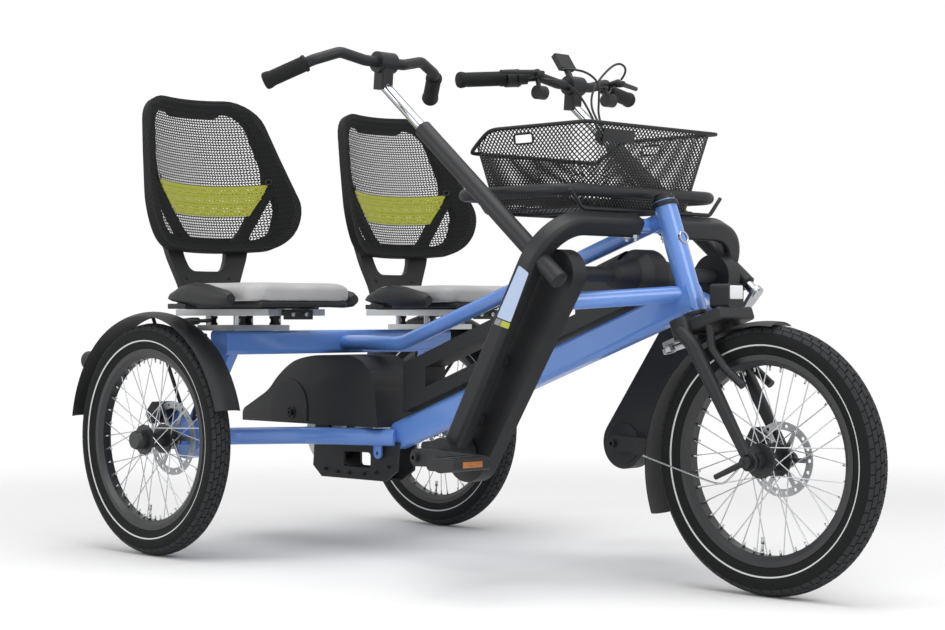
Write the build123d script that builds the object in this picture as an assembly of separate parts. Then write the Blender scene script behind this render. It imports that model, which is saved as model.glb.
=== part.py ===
from build123d import *
import math
import os

# Side-by-side tandem tricycle: two seats beside each other, one steered wheel in front,
# two braked wheels behind. Millimetres, +X forward, +Y left, +Z up.
# Sizes are laid out from the ground below the middle of the rear axle. At the end every piece is
# moved to the origin on the ground below the middle of the machine.

# Wheels
WHEEL_RADIUS = 250.0
WHEELBASE = 1312.0
TRACK = 860.0
HALF_TRACK = TRACK / 2
TYRE_WIDTH = 52.0
TYRE_HEIGHT = 55.0
TREAD_WIDTH = 36.0
TREAD_DROP = 7.0
BEAD_INSET = 1.0
RIM_RADIUS = WHEEL_RADIUS - TYRE_HEIGHT
RIM_DEPTH = 20.0
RIM_WIDTH = 34.0
RIM_BASE_WIDTH = 20.0
SPOKE_COUNT = 36
SPOKE_RADIUS = 1.1
SPOKE_LEAN = 55.0
SPOKE_STAGGER = 1.8
SPOKE_LET_IN = 1.0
SPOKE_EDGE = 4.0
FLANGE_RADIUS = 32.0
FLANGE_SPACING = 50.0
FLANGE_THICKNESS = 5.0
HUB_RADIUS = 18.0
FRONT_AXLE_RADIUS = 6.0
REAR_AXLE_RADIUS = 10.0
FRONT_HUB_HALF = 48.0
FRONT_HUB_NOSE = 15.0
REAR_HUB_INNER = 62.0
REAR_HUB_OUTER = 44.0
HUB_CAP_RADIUS = 21.0
HUB_CAP_LENGTH = 8.0
HUB_CAP_TAPER = 3.0
FRONT_ROTOR_RADIUS = 70.0
REAR_ROTOR_RADIUS = 80.0
ROTOR_BAND = 15.0
ROTOR_BOSS = 8.0
ROTOR_THICKNESS = 2.0
ROTOR_ARMS = 6
ROTOR_ARM_WIDTH = 9.0
ROTOR_ARM_LET_IN = 3.0
ROTOR_HOLES = 18
ROTOR_HOLE_RADIUS = 3.5
FRONT_ROTOR_Y = 40.0
REAR_ROTOR_IN = 50.0

# Origin on the ground at the middle of the whole length and width; the left-hand pedal makes the left wider
MIDDLE_X = WHEELBASE / 2 - 11.0
MIDDLE_Y = 24.0

# Fits and gaps
RUN_FIT = 0.05
SEAT_GAP = 0.2
SOFT_GAP = 0.3
MOVING_GAP = 5.0
OVERCUT = 20.0

# Steering head and fork
HEAD_ANGLE = 19.4
HEAD_LENGTH = 240.0
HEAD_FOOT_X = WHEELBASE - 168.0
HEAD_FOOT_Z = 2 * WHEEL_RADIUS + 10.0
HEAD_RADIUS = 22.0
HEAD_CUT_REACH = 60.0
STEERER_RADIUS = 16.0
LOCKNUT_HEIGHT = 12.0
LOCKNUT_RADIUS = 18.0
LOCKNUT_GAP = 0.5
CROWN_GAP = 1.0
CROWN_WIDTH = 140.0
CROWN_DEPTH = 40.0
CROWN_HEIGHT = 38.0
CROWN_CORNER = 16.0
LEG_SPACING = 120.0
LEG_TOP_RADIUS = 14.0
LEG_END_RADIUS = 10.0
LEG_START = 22.0
LEG_STRAIGHT = 45.0
LEG_END_GAP = 12.0
LEG_KNEE_X = WHEELBASE - 129.0
LEG_KNEE_Z = HEAD_FOOT_Z - 49.0
LEG_KNEE_BEND = 30.0
DROPOUT_RADIUS = 17.0
DROPOUT_THICKNESS = 8.0
AXLE_NUT_RADIUS = 11.0
AXLE_NUT_LENGTH = 12.0
RELEASE_LEVER = (-62.0, -8.0, -30.0)
RELEASE_RADII = (6.0, 5.0)

# Main frame tubes
DOWN_TUBE_WIDTH = 45.0
DOWN_TUBE_HEIGHT = 60.0
DOWN_TUBE_CORNER = 14.0
DOWN_TUBE_FOOT = (316.0, 0.0, WHEEL_RADIUS + 2.0)
DOWN_TUBE_HEAD_Z = HEAD_FOOT_Z + 41.73
TOP_TUBE_RADIUS = 16.0
TOP_TUBE_BEND_X = 326.0
TOP_TUBE_END = (HEAD_FOOT_X - 90.0, 0.0, HEAD_FOOT_Z + 189.0)
TOP_TUBE_BEND = 120.0
TOP_TUBE_REACH = 30.0
TOP_TUBE_DROP = 2.0
LOWER_TUBE_RADIUS = 19.0
LOWER_TUBE_X = 34.0
LOWER_TUBE_KNEE = (119.0, 120.0)
LOWER_TUBE_BEND_Y = HALF_TRACK - 189.0
LOWER_TUBE_END_Y = 24.0
LOWER_TUBE_LET_IN = 14.0
LOWER_TUBE_BEND = 60.0
LUG_X = 285.0
LUG_Y = 34.0
LUG_THICKNESS = 5.0
LUG_WIDTH = 24.0
LUG_ROOT = 8.0
LUG_HOLE_RADIUS = 4.2
LUG_HOLE_Z = WHEEL_RADIUS - 36.0
BEAM_FRONT_X = 134.0
BEAM_DEPTH = 58.0
BEAM_BOTTOM_Z = WHEEL_RADIUS + 182.0
BEAM_HEIGHT = 52.0
BEAM_HALF_LENGTH = HALF_TRACK - 95.0
BEAM_CORNER = 10.0
STRUT_WIDTH = 46.0
STRUT_DEPTH = 26.0
STRUT_CORNER = 6.0
STRUT_TOP_Y = HALF_TRACK - 130.0
STRUT_TOP_IN = (4.0, 20.0)
STRUT_FOOT_X = 4.0
STRUT_ACROSS = (0.0, 0.97, -0.2)
STRUT_ROOM = (200.0, 120.0, 104.0)
OUTRIGGER_RADIUS = 16.5
OUTRIGGER_ROOT = (HEAD_FOOT_X - 32.0, 12.0, HEAD_FOOT_Z + 47.0)

# Rear wheel carriers and brakes
CARRIER_OUTER_Y = HALF_TRACK - 83.0
CARRIER_INNER_Y = CARRIER_OUTER_Y - 29.0
CARRIER_RADIUS = 46.0
CARRIER_RIM = 6.0
EAR_RADIUS = 24.0
EAR_THICKNESS = 10.0
COLLAR_RADIUS = 16.0
COLLAR_GAP = 2.0
STUB_END_GAP = 4.0
CALIPER_SIZE = (34.0, 44.0)
CALIPER_CORNER = 8.0
CALIPER_OUT = 4.0
CALIPER_PAD = 16.0
FRONT_CALIPER_REACH = (9.0, 24.0)
REAR_CALIPER_ANGLE = 135.0
FRONT_CALIPER_ANGLE = 150.0

# Drive
DRIVE_X = 86.0
DRIVE_RADIUS = 70.0
DRIVE_HALF_WIDTH = 22.0
DRIVE_SHAFT_RADIUS = 10.0
DRIVE_STEPS = (0.4, 0.6, 0.8)
CRADLE_THICKNESS = 6.0
CRADLE_TOP_Z = WHEEL_RADIUS - 10.0
CRADLE_CHIN_Z = WHEEL_RADIUS - 74.0
CRADLE_BOTTOM_Z = WHEEL_RADIUS - 98.0
CRADLE_EAR = (22.0, 20.0)
CRADLE_WINDOW = (90.0, 34.0, 8.0)
CRADLE_WINDOW_AT = (120.0, -54.0)
CRADLE_FLOOR = (180.0, 4.0)
CRADLE_FLOOR_X = 110.0
MOTOR_X = HEAD_FOOT_X - 134.0
MOTOR_Z = HEAD_FOOT_Z + 85.0
MOTOR_RADIUS = 50.0
MOTOR_HALF_WIDTH = 40.0
MOTOR_CHAMFER = 14.0
MOTOR_NECK_RADII = (34.0, 24.0)
MOTOR_NECK_LENGTHS = (2.0, 50.0, 58.0)
CROSS_SHAFT_RADIUS = 15.0
GUARD_HALF_WIDTH = 30.0
GUARD_HALF_HEIGHT = 50.0
GUARD_BEAM = 30.0
GUARD_REAR_X = 358.0
GUARD_WINDOW_REAR = 70.0
GUARD_WINDOW_FRONT = 150.0
COVER_HALF_WIDTH = 64.0
COVER_REAR_X = -134.0
COVER_REAR_Z = WHEEL_RADIUS + 55.0
COVER_BOTTOM_Z = WHEEL_RADIUS + 22.0
COVER_TOP_Z = WHEEL_RADIUS + 178.0
COVER_TOP_X = (-20.0, 270.0)
COVER_FRONT_Z = WHEEL_RADIUS + 110.0
COVER_BEND = 45.0
COVER_EDGE = 24.0
COVER_WALL = 12.0
COVER_ROOF = 14.0
COVER_ROOM = 2.0
COVER_PANEL_X = 15.0
COVER_PANEL_RADIUS = 65.0
COVER_PANEL_Z = WHEEL_RADIUS + 56.0
COVER_PANEL_RAISE = 3.0
COVER_STEP_X = 221.0
COVER_STEP_DEPTH = 3.0
COVER_BOLT = (25.0, WHEEL_RADIUS + 43.0)
COVER_BOLT_RECESS = (12.0, 5.0)

# Pedal units, one on each side
UNIT_Y = HALF_TRACK - 140.0
BB_X = MOTOR_X - 234.0
BB_Z = WHEEL_RADIUS - 2.0
BB_RADIUS = 34.0
BB_HALF_WIDTH = 32.0
SPINDLE_RADIUS = 12.0
BOOM_SIZE = 40.0
BOOM_CORNER = 10.0
BOOM_BEND = 95.0
BOOM_TOP_Z = HEAD_FOOT_Z + 180.0
BOOM_SLOPE = 29.7
BOOM_END_Y = 44.0
STUB_RADIUS = 14.0
CASE_INNER_Y = UNIT_Y - 75.0
CASE_OUTER_Y = UNIT_Y - 38.0
CASE_LOW_RADIUS = 55.0
CASE_HIGH_RADIUS = 45.0
CASE_SPACER_RADIUS = 12.0
CASE_SPACERS = (80.0, 210.0)
OUTRIGGER_END = (MOTOR_X - 6.0, CASE_INNER_Y - 1.0, HEAD_FOOT_Z + 33.0)
CRANK_LENGTH = 170.0
CRANK_INNER_Y = UNIT_Y - 100.0
CRANK_OUTER_Y = UNIT_Y + 90.0
CRANK_THICKNESS = 12.0
CRANK_ROOT_RADIUS = 17.0
CRANK_TIP_RADIUS = 12.0
PEDAL_LENGTH = 96.0
PEDAL_DEPTH = 70.0
PEDAL_HEIGHT = 24.0
PEDAL_EDGE = 9.0
PEDAL_GAP = 6.0
PEDAL_PIN_RADIUS = 5.0
PEDAL_PIN_SHORT = 10.0
PEDAL_PIN_ROOM = 2.0
PEDAL_RAIL = 9.0
PEDAL_BARREL = 10.0

# Handlebar columns
COLUMN_Y = UNIT_Y - 7.0
COLUMN_TOP = (BB_X - 208.5, BOOM_TOP_Z + 293.0)
COLUMN_SLOPE = 39.85
COLUMN_RADIUS = 11.0
COLUMN_START = 4.0
QUILL_LENGTH = 276.0
SLEEVE_RADIUS = 17.5
SLEEVE_START = 156.0
SLEEVE_END = 628.0
ARM_AT = 656.0
ARM_LENGTH = 75.0
ARM_ROOT_RADIUS = 16.0
ARM_TIP_RADIUS = 9.0
ARM_THICKNESS = 8.0
ARM_LIFT = 1.0
COLUMN_TAIL = 6.0
BAR_RADIUS = 11.0
BAR_BEND = 30.0
GRIP_RADIUS = 16.0
GRIP_START = 14.0
GRIP_OVERHANG = 3.0
STEM_X = COLUMN_TOP[0] + 7.5
STEM_Z = COLUMN_TOP[1] + 40.0
STEM_RADIUS = 21.0
STEM_WIDTH = 44.0
NECK_SIZE = (30.0, 34.0, 8.0)
NECK_FOOT = (3.0, -14.0)
BALL_PIN_RADIUS = 4.0
ROD_RADIUS = 5.0
BALL_RADIUS = 7.0
SOCKET_WALL = 5.0
ROD_EYE_HEIGHT = 8.0
ROD_EYE_BORE = 8.0
ROD_EYE_WALL = 5.0
LEVER_BALL = (HEAD_FOOT_X - 42.0, -30.0, HEAD_FOOT_Z - 60.0)
LEVER_THICKNESS = 8.0
LEVER_TIP_RADIUS = 10.0
LEVER_ROOT_RADIUS = 12.0
LEVER_ROOT_DROP = 20.0
LEVER_LET_IN = 2.0

# Driver's controls, measured from the stem: forward, out, up
BRAKE_CLAMP_RADIUS = 16.0
BRAKE_CLAMP_LENGTH = 20.0
BRAKE_KNUCKLE = (14.0, 133.0, 17.0)
BRAKE_BLADE_TIP = (-9.0, 222.0, 12.0)
BRAKE_BODY_RADIUS = 8.0
BRAKE_BLADE_RADII = (6.0, 5.0)
DISPLAY_AT = (-30.0, 54.0)
DISPLAY_SIZE = (13.0, 46.0, 40.0)
DISPLAY_TILT = -35.0
DISPLAY_STALK_RADIUS = 7.0
BELL_AT = (4.0, 113.0, -24.0)
BELL_RADIUS = 15.0
BELL_LENGTH = 26.0
BELL_STALK_RADIUS = 5.0

# Rack and basket
RACK_RADIUS = 12.0
RACK_Z = BOOM_TOP_Z + 63.0
RACK_FRONT_X = MOTOR_X + 12.0
RACK_REAR_X = MOTOR_X - 296.0
RACK_HALF_WIDTH = UNIT_Y - 64.0
RACK_CORNER = 55.0
RACK_WIRE_RADIUS = 4.0
RACK_WIRE_BEND = 16.0
RACK_WIRE_IN = 34.0
RACK_WIRE_REAR = 60.0
RACK_RAIL_RADIUS = 3.2
RACK_RAIL_Y = 70.0
RACK_RAIL_ENDS = (52.0, 5.0)
BASKET_WALL = 3.0
BASKET_RIM_Z = RACK_Z + 127.0
BASKET_RIM_X = (MOTOR_X - 295.0, MOTOR_X + 30.0)
BASKET_FLOOR_X = (MOTOR_X - 258.0, MOTOR_X - 10.0)
BASKET_RIM_HALF = RACK_HALF_WIDTH - 30.0
BASKET_FLOOR_HALF = BASKET_RIM_HALF - 28.0
BASKET_CORNER = 40.0
BASKET_DROP = 42.0
BASKET_DROP_RUN = (7.0, 71.0)
HAND_HOLD_X = MOTOR_X - 138.0
HAND_HOLD_SIZE = (46.0, 16.0)
HAND_HOLD_DEPTH = 22.0

# Seats
SEAT_Y = HALF_TRACK - 150.0
PLATE_SIZE = (130.0, 150.0, 12.0)
PLATE_X = 120.0
POST_RADIUS = 8.0
POST_HEIGHT = 20.0
POST_SPACING = 96.0
RAIL_X = (-20.0, 300.0)
RAIL_WIDTH = 44.0
RAIL_HEIGHT = 14.0
RAIL_SPACING = 110.0
PAN_X = (12.0, 347.0)
PAN_WIDTH = 380.0
PAN_HEIGHT = 16.0
PAN_CORNER = 60.0
WING_WIDTH = 42.0
WING_ENDS = (78.0, 15.0)
WING_TOP_X = 183.0
WING_RISE = (12.0, 39.0, 18.0)
WING_GROOVES = 8
WING_GROOVE_PITCH = 24.0
WING_GROOVE = (5.0, 3.0, 8.0)
CUSHION_HEIGHT = 38.0
CUSHION_SHORT = 40.0
CUSHION_FORWARD = 12.0
CUSHION_CORNER = 40.0
CUSHION_EDGE = 14.0
BACK_RISE = 124.8
BACK_HEIGHT = 350.0
BACK_FOOT_X = 5.0
BACK_RECLINE = 13.0
BACK_RADIUS = 320.0
BACK_THICKNESS = 18.0
BACK_TOP_HALF = 147.0
BACK_WIDE_HALF = 214.0
BACK_WIDE_Z = 66.0
BACK_LOW_HALF = 165.0
BACK_CORNERS = (70.0, 70.0, 90.0)
BACK_WEB = 3.0
BACK_WINDOW = ((96.0, 302.0), (134.0, 200.0), (156.0, 118.0), (124.0, 28.0))
BACK_WINDOW_CORNER = 10.0
BACK_BRACE = ((154.0, 120.0), (142.0, 130.0), (64.0, 33.0), (76.0, 23.0))
SPINE_THICKNESS = 16.0
SPINE_LET_IN = 8.0
SPINE_FOOT_HALF = 48.0
SPINE_WAIST = (60.0, 70.0)
SPINE_ARM_OUT = (95.0, 190.0)
SPINE_ARM_IN = (66.0, 190.0)
SPINE_CROTCH = (44.0, 106.0)

# Fenders and lamps
REAR_FENDER_RADIUS = WHEEL_RADIUS + 25.0
FENDER_HALF_WIDTH = 33.0
FENDER_RISE = 9.0
FENDER_WALL = 2.5
REAR_FENDER_START = 171.0
REAR_FENDER_ARC = 156.0
STAY_ANGLES = (58.0, 100.0)
STAY_RADIUS = 4.0
STAY_LET_IN = (6.0, 4.0, 2.0, 1.0)
FRONT_FENDER_RADIUS = WHEEL_RADIUS + 28.0
FRONT_FENDER_DROP = 21.0
FRONT_FENDER_START = 200.0
FRONT_FENDER_ARC = 116.0
FENDER_BRACKET_ANGLE = 122.4
FENDER_BRACKET_LENGTH = 25.0
FENDER_BRACKET_RADIUS = 9.0
TAIL_LAMP_ANGLE = 142.0
TAIL_LAMP_RADIUS = 21.0
TAIL_LAMP_LENGTH = 34.0
TAIL_LAMP_LET_IN = 6.0
LAMP_SIZE = (44.0, 46.0, 46.0)
LAMP_EDGE = 8.0
LAMP_AT = (HEAD_FOOT_X + 71.0, 0.0, HEAD_FOOT_Z + 43.0)
LAMP_BRACKET = (10.0, 20.0, 40.0)
LAMP_BRACKET_AT = (-14.0, -28.0)
LOCK_SIZE = (80.0, 104.0, 26.0)
LOCK_AT = (59.0, -1.0)
LOCK_TILT = -20.0
LOCK_EDGE = 6.0
LOCK_ARM_Y = 43.0
LOCK_ARM_RADIUS = 8.0
LOCK_ARM_BEND = 24.0
LOCK_ARM_POINTS = ((64.0, -8.0), (70.0, -55.0), (100.0, -90.0), (142.0, -122.0))

LEFT = Vector(0, 1, 0)
HEAD_UP = Vector(-math.sin(math.radians(HEAD_ANGLE)), 0, math.cos(math.radians(HEAD_ANGLE)))
HEAD_FORWARD = Vector(math.cos(math.radians(HEAD_ANGLE)), 0, math.sin(math.radians(HEAD_ANGLE)))
HEAD_FOOT = Vector(HEAD_FOOT_X, 0, HEAD_FOOT_Z)
COLUMN_DOWN = Vector(math.cos(math.radians(COLUMN_SLOPE)), 0, -math.sin(math.radians(COLUMN_SLOPE)))
COLUMN_BACK = Vector(-math.sin(math.radians(COLUMN_SLOPE)), 0, -math.cos(math.radians(COLUMN_SLOPE)))
FRONT_HUB = Vector(WHEELBASE, 0, WHEEL_RADIUS)
RIGHT_HUB = Vector(0, -TRACK / 2, WHEEL_RADIUS)
BB_RIGHT = Vector(BB_X, -UNIT_Y, BB_Z)
BEAM_TOP_Z = BEAM_BOTTOM_Z + BEAM_HEIGHT
RAIL_Z = BEAM_TOP_Z + PLATE_SIZE[2] + POST_HEIGHT
PAN_Z = RAIL_Z + RAIL_HEIGHT + SEAT_GAP


def rod(start, end, radius):
    """A round bar between two points."""
    axis = Vector(*end) - Vector(*start)
    return Solid.make_cylinder(radius, axis.length, Plane(origin=start, z_dir=axis))


def taper(start, end, start_radius, end_radius):
    """A round bar that narrows from one point to the other."""
    axis = Vector(*end) - Vector(*start)
    return Solid.make_cone(start_radius, end_radius, axis.length, Plane(origin=start, z_dir=axis))


def bent_tube(points, radius, bend):
    """A round tube along straight runs joined by bends."""
    path = FilletPolyline(*points, radius=bend)
    return sweep(Plane(origin=path @ 0, z_dir=path % 0) * Circle(radius), path=path)


def box_bar(start, end, across, width, height, corner):
    """A box-section bar between two points, its width laid along the direction across."""
    axis = Vector(*end) - Vector(*start)
    plane = Plane(origin=start, x_dir=across, z_dir=axis)
    return extrude(plane * RectangleRounded(width, height, corner), axis.length)


def slab(outline, low_y, high_y):
    """An outline in the XZ plane made thick from low_y to high_y."""
    plane = Plane(origin=(0, high_y, 0), x_dir=(1, 0, 0), z_dir=(0, -1, 0))
    return extrude(plane * outline, high_y - low_y)


def turned(profile, centre, start=90.0, arc=360.0):
    """A profile (along the axle, out from it) turned about a Y axis, from start degrees on."""
    out = Vector(math.cos(math.radians(start)), 0, math.sin(math.radians(start)))
    plane = Plane(origin=centre, x_dir=LEFT, z_dir=LEFT.cross(out))
    return revolve(plane * profile, axis=Axis(centre, LEFT), revolution_arc=arc)


def profile_of(*points):
    """A closed straight-sided profile."""
    return make_face(Polyline(*points, close=True))


def capsule(start, end, start_radius, end_radius):
    """The outline round two circles, drawn in XZ."""
    circles = Pos(*start) * Circle(start_radius) + Pos(*end) * Circle(end_radius)
    return make_hull(circles.edges())


def mirrored(shape):
    return mirror(shape, Plane.XZ)


def pair(shape):
    """The right-hand piece and its left-hand twin."""
    return Compound([*shape.solids(), *mirrored(shape).solids()])


def polar(centre, radius, degrees):
    """A point at a distance from a wheel's centre, in the wheel's plane."""
    angle = math.radians(degrees)
    return Vector(centre) + Vector(radius * math.cos(angle), 0, radius * math.sin(angle))


def on_head(height, forward=0.0, side=0.0):
    """A point measured up the steering axis, forward of it and to the left."""
    return HEAD_FOOT + HEAD_UP * height + HEAD_FORWARD * forward + LEFT * side


def on_column(along, side=0.0, back=0.0):
    """A point measured down the driver's column from its top."""
    top = Vector(COLUMN_TOP[0], COLUMN_Y, COLUMN_TOP[1])
    return top + COLUMN_DOWN * along + LEFT * side + COLUMN_BACK * back


def make_tyre(hub):
    half = TYRE_WIDTH / 2
    seat = RIM_RADIUS + SEAT_GAP
    bead = RIM_WIDTH / 2 - BEAD_INSET
    shoulder = (TREAD_WIDTH / 2, WHEEL_RADIUS - TREAD_DROP)
    middle = (seat + WHEEL_RADIUS) / 2
    outline = [
        Line((-bead, seat), (bead, seat)),
        ThreePointArc((bead, seat), (half, middle), shoulder),
        ThreePointArc(shoulder, (0, WHEEL_RADIUS), (-shoulder[0], shoulder[1])),
        ThreePointArc((-shoulder[0], shoulder[1]), (-half, middle), (-bead, seat)),
    ]
    return turned(make_face(outline), hub)


def make_spokes(hub):
    """Spokes laced in crossing pairs from the two hub flanges to the rim."""
    spokes = []
    rim_in = RIM_RADIUS - RIM_DEPTH + SPOKE_LET_IN
    for i in range(SPOKE_COUNT):
        side = 1 if i % 2 == 0 else -1
        lead = 1 if (i // 2) % 2 == 0 else -1
        at_rim = 360.0 * i / SPOKE_COUNT
        outer = polar(hub, rim_in, at_rim) + LEFT * side * RIM_BASE_WIDTH / 5
        inner = polar(hub, FLANGE_RADIUS - SPOKE_EDGE, at_rim + lead * SPOKE_LEAN)
        inner = inner + LEFT * side * (FLANGE_SPACING / 2 + lead * SPOKE_STAGGER)
        spokes.append(rod(inner, outer, SPOKE_RADIUS))
    return spokes


def make_wheel(hub, hub_profile):
    """Rim, spokes and hub in one: the hub profile is given along the axle and out from it."""
    inner = RIM_RADIUS - RIM_DEPTH
    rim = turned(
        profile_of(
            (-RIM_WIDTH / 2, RIM_RADIUS),
            (-RIM_WIDTH / 2, RIM_RADIUS - RIM_DEPTH / 2),
            (-RIM_BASE_WIDTH / 2, inner),
            (RIM_BASE_WIDTH / 2, inner),
            (RIM_WIDTH / 2, RIM_RADIUS - RIM_DEPTH / 2),
            (RIM_WIDTH / 2, RIM_RADIUS),
        ),
        hub,
    )
    return turned(hub_profile, hub).fuse(rim, *make_spokes(hub))


def flanged_hub(bore, low, high, low_radius, high_radius):
    """Hub shell with two spoke flanges, bored for its axle."""
    inside = FLANGE_SPACING / 2 - FLANGE_THICKNESS / 2
    outside = FLANGE_SPACING / 2 + FLANGE_THICKNESS / 2
    return profile_of(
        (low, bore),
        (low, low_radius),
        (-outside, low_radius),
        (-outside, FLANGE_RADIUS),
        (-inside, FLANGE_RADIUS),
        (-inside, HUB_RADIUS),
        (inside, HUB_RADIUS),
        (inside, FLANGE_RADIUS),
        (outside, FLANGE_RADIUS),
        (outside, high_radius),
        (high, high_radius),
        (high, bore),
    )


def make_rotor(centre, radius, bore):
    """Brake disc: a drilled band on six arms."""
    inner = radius - ROTOR_BAND
    boss = bore + ROTOR_BOSS
    arm_length = inner - boss + 2 * ROTOR_ARM_LET_IN
    band = Circle(radius) - Circle(inner)
    arm = Pos((boss + inner) / 2, 0) * Rectangle(arm_length, ROTOR_ARM_WIDTH)
    disc = band + Circle(boss) + [Rot(0, 0, 360 * i / ROTOR_ARMS) * arm for i in range(ROTOR_ARMS)]
    disc -= Circle(bore)
    disc -= PolarLocations(radius - ROTOR_BAND / 2, ROTOR_HOLES) * Circle(ROTOR_HOLE_RADIUS)
    plane = Plane(origin=centre + LEFT * ROTOR_THICKNESS / 2, x_dir=(1, 0, 0), z_dir=(0, -1, 0))
    return extrude(plane * disc, ROTOR_THICKNESS)


def make_caliper(centre, rotor_radius, degrees, inner_reach, outer_reach):
    """A caliper that straddles the disc, with a slot that leaves the disc free to turn."""
    middle = polar(centre, rotor_radius - ROTOR_BAND / 2 + CALIPER_OUT, degrees)
    plane = Plane(origin=middle - LEFT * inner_reach, x_dir=polar((0, 0, 0), 1, degrees), z_dir=LEFT)
    block = extrude(plane * RectangleRounded(*CALIPER_SIZE, CALIPER_CORNER), inner_reach + outer_reach)
    slot = ROTOR_THICKNESS / 2 + MOVING_GAP
    gap = turned(
        profile_of(
            (-slot, 0), (-slot, rotor_radius + MOVING_GAP), (slot, rotor_radius + MOVING_GAP), (slot, 0)
        ),
        centre,
    )
    return block - gap


def make_fender(centre, radius, start, arc):
    """A curved strip over the tyre, arched across its width."""
    half = FENDER_HALF_WIDTH
    top = radius + FENDER_RISE
    outline = [
        ThreePointArc((-half, radius), (0, top), (half, radius)),
        Line((half, radius), (half - FENDER_WALL, radius)),
        ThreePointArc((half - FENDER_WALL, radius), (0, top - FENDER_WALL), (FENDER_WALL - half, radius)),
        Line((FENDER_WALL - half, radius), (-half, radius)),
    ]
    return turned(make_face(outline), centre, start, arc)


parts = {}

# Front wheel
parts["front_tyre"] = make_tyre(FRONT_HUB)
front_bore = FRONT_AXLE_RADIUS + RUN_FIT
front_profile = flanged_hub(front_bore, -FRONT_HUB_HALF, FRONT_HUB_HALF, FRONT_HUB_NOSE, FRONT_HUB_NOSE)
parts["front_wheel"] = make_wheel(FRONT_HUB, front_profile)
front_rotor_centre = FRONT_HUB + LEFT * FRONT_ROTOR_Y
parts["front_rotor"] = make_rotor(front_rotor_centre, FRONT_ROTOR_RADIUS, FRONT_HUB_NOSE + SEAT_GAP)

# Rear wheels, turning on stub axles held from the inside
rear_bore = REAR_AXLE_RADIUS + RUN_FIT
rear_shell = flanged_hub(rear_bore, -REAR_HUB_OUTER, REAR_HUB_INNER, HUB_CAP_RADIUS, COLLAR_RADIUS)
rear_cap = profile_of(
    (-REAR_HUB_OUTER - HUB_CAP_LENGTH, 0),
    (-REAR_HUB_OUTER - HUB_CAP_LENGTH, HUB_CAP_RADIUS - HUB_CAP_TAPER),
    (-REAR_HUB_OUTER, HUB_CAP_RADIUS),
    (-REAR_HUB_OUTER, 0),
)
right_wheel = make_wheel(RIGHT_HUB, rear_shell).fuse(turned(rear_cap, RIGHT_HUB))
right_rotor = make_rotor(RIGHT_HUB + LEFT * REAR_ROTOR_IN, REAR_ROTOR_RADIUS, COLLAR_RADIUS + SEAT_GAP)
right_tyre = make_tyre(RIGHT_HUB)
for side, turn in (("right", lambda shape: shape), ("left", mirrored)):
    parts[f"rear_tyre_{side}"] = turn(right_tyre)
    parts[f"rear_wheel_{side}"] = turn(right_wheel)
    parts[f"rear_rotor_{side}"] = turn(right_rotor)

# Steering head, bored for the fork's steerer
head_solid = rod(HEAD_FOOT, on_head(HEAD_LENGTH), HEAD_RADIUS)
head_bore = rod(on_head(-OVERCUT), on_head(HEAD_LENGTH + OVERCUT), STEERER_RADIUS + RUN_FIT)
parts["head_tube"] = head_solid - head_bore

# Down tube, a box section from the lower tubes' meeting point to the steering head
down_end = Vector(HEAD_FOOT_X, 0, DOWN_TUBE_HEAD_Z)
slope = math.atan2(down_end.Z - DOWN_TUBE_FOOT[2], down_end.X - DOWN_TUBE_FOOT[0])
down_solid = box_bar(DOWN_TUBE_FOOT, down_end, LEFT, DOWN_TUBE_WIDTH, DOWN_TUBE_HEIGHT, DOWN_TUBE_CORNER)
head_cut = rod(on_head(-HEAD_CUT_REACH), on_head(HEAD_LENGTH + HEAD_CUT_REACH), HEAD_RADIUS)
parts["down_tube"] = (down_solid - head_cut).solids().sort_by(Axis.X)[0]

# Top tube, level from the seat beam and then rising to the steering head
top_tube_z = BEAM_BOTTOM_Z + BEAM_HEIGHT / 2 - TOP_TUBE_DROP
top_points = [(BEAM_FRONT_X, 0, top_tube_z), (TOP_TUBE_BEND_X, 0, top_tube_z), TOP_TUBE_END]
top_solid = bent_tube(top_points, TOP_TUBE_RADIUS, TOP_TUBE_BEND)
top_reach = (Vector(*TOP_TUBE_END) - Vector(*top_points[1])).normalized() * TOP_TUBE_REACH
top_solid = top_solid + rod(TOP_TUBE_END, Vector(*TOP_TUBE_END) + top_reach, TOP_TUBE_RADIUS)
parts["top_tube"] = (top_solid - head_cut).solids().sort_by(Axis.X)[0]

# Seat beam across the rear, with a strut at each end down to the wheel carriers
beam_x = BEAM_FRONT_X - BEAM_DEPTH / 2
beam_ends = [(beam_x, side * BEAM_HALF_LENGTH, BEAM_BOTTOM_Z + BEAM_HEIGHT / 2) for side in (-1, 1)]
beam = box_bar(*beam_ends, (1, 0, 0), BEAM_DEPTH, BEAM_HEIGHT, BEAM_CORNER)

# Wheel carriers: a boss at each end of the frame with the stub axle that its wheel turns on
carrier_in = Vector(0, -CARRIER_INNER_Y, WHEEL_RADIUS)
carrier_out = Vector(0, -CARRIER_OUTER_Y, WHEEL_RADIUS)
collar_end = Vector(0, -TRACK / 2 + REAR_HUB_INNER + COLLAR_GAP, WHEEL_RADIUS)
stub_end = Vector(0, -TRACK / 2 - REAR_HUB_OUTER + STUB_END_GAP, WHEEL_RADIUS)
boss = slab(
    capsule((0, WHEEL_RADIUS), (LOWER_TUBE_X, WHEEL_RADIUS), CARRIER_RADIUS, LOWER_TUBE_RADIUS + CARRIER_RIM),
    -CARRIER_OUTER_Y,
    -CARRIER_INNER_Y,
)
rear_rotor_centre = RIGHT_HUB + LEFT * REAR_ROTOR_IN
rear_rotor_reach = -CARRIER_OUTER_Y - rear_rotor_centre.Y
rear_caliper = make_caliper(
    rear_rotor_centre, REAR_ROTOR_RADIUS, REAR_CALIPER_ANGLE, CALIPER_PAD, rear_rotor_reach
)
caliper_foot = polar(carrier_out, REAR_ROTOR_RADIUS - ROTOR_BAND / 2 + CALIPER_OUT, REAR_CALIPER_ANGLE)
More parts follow.
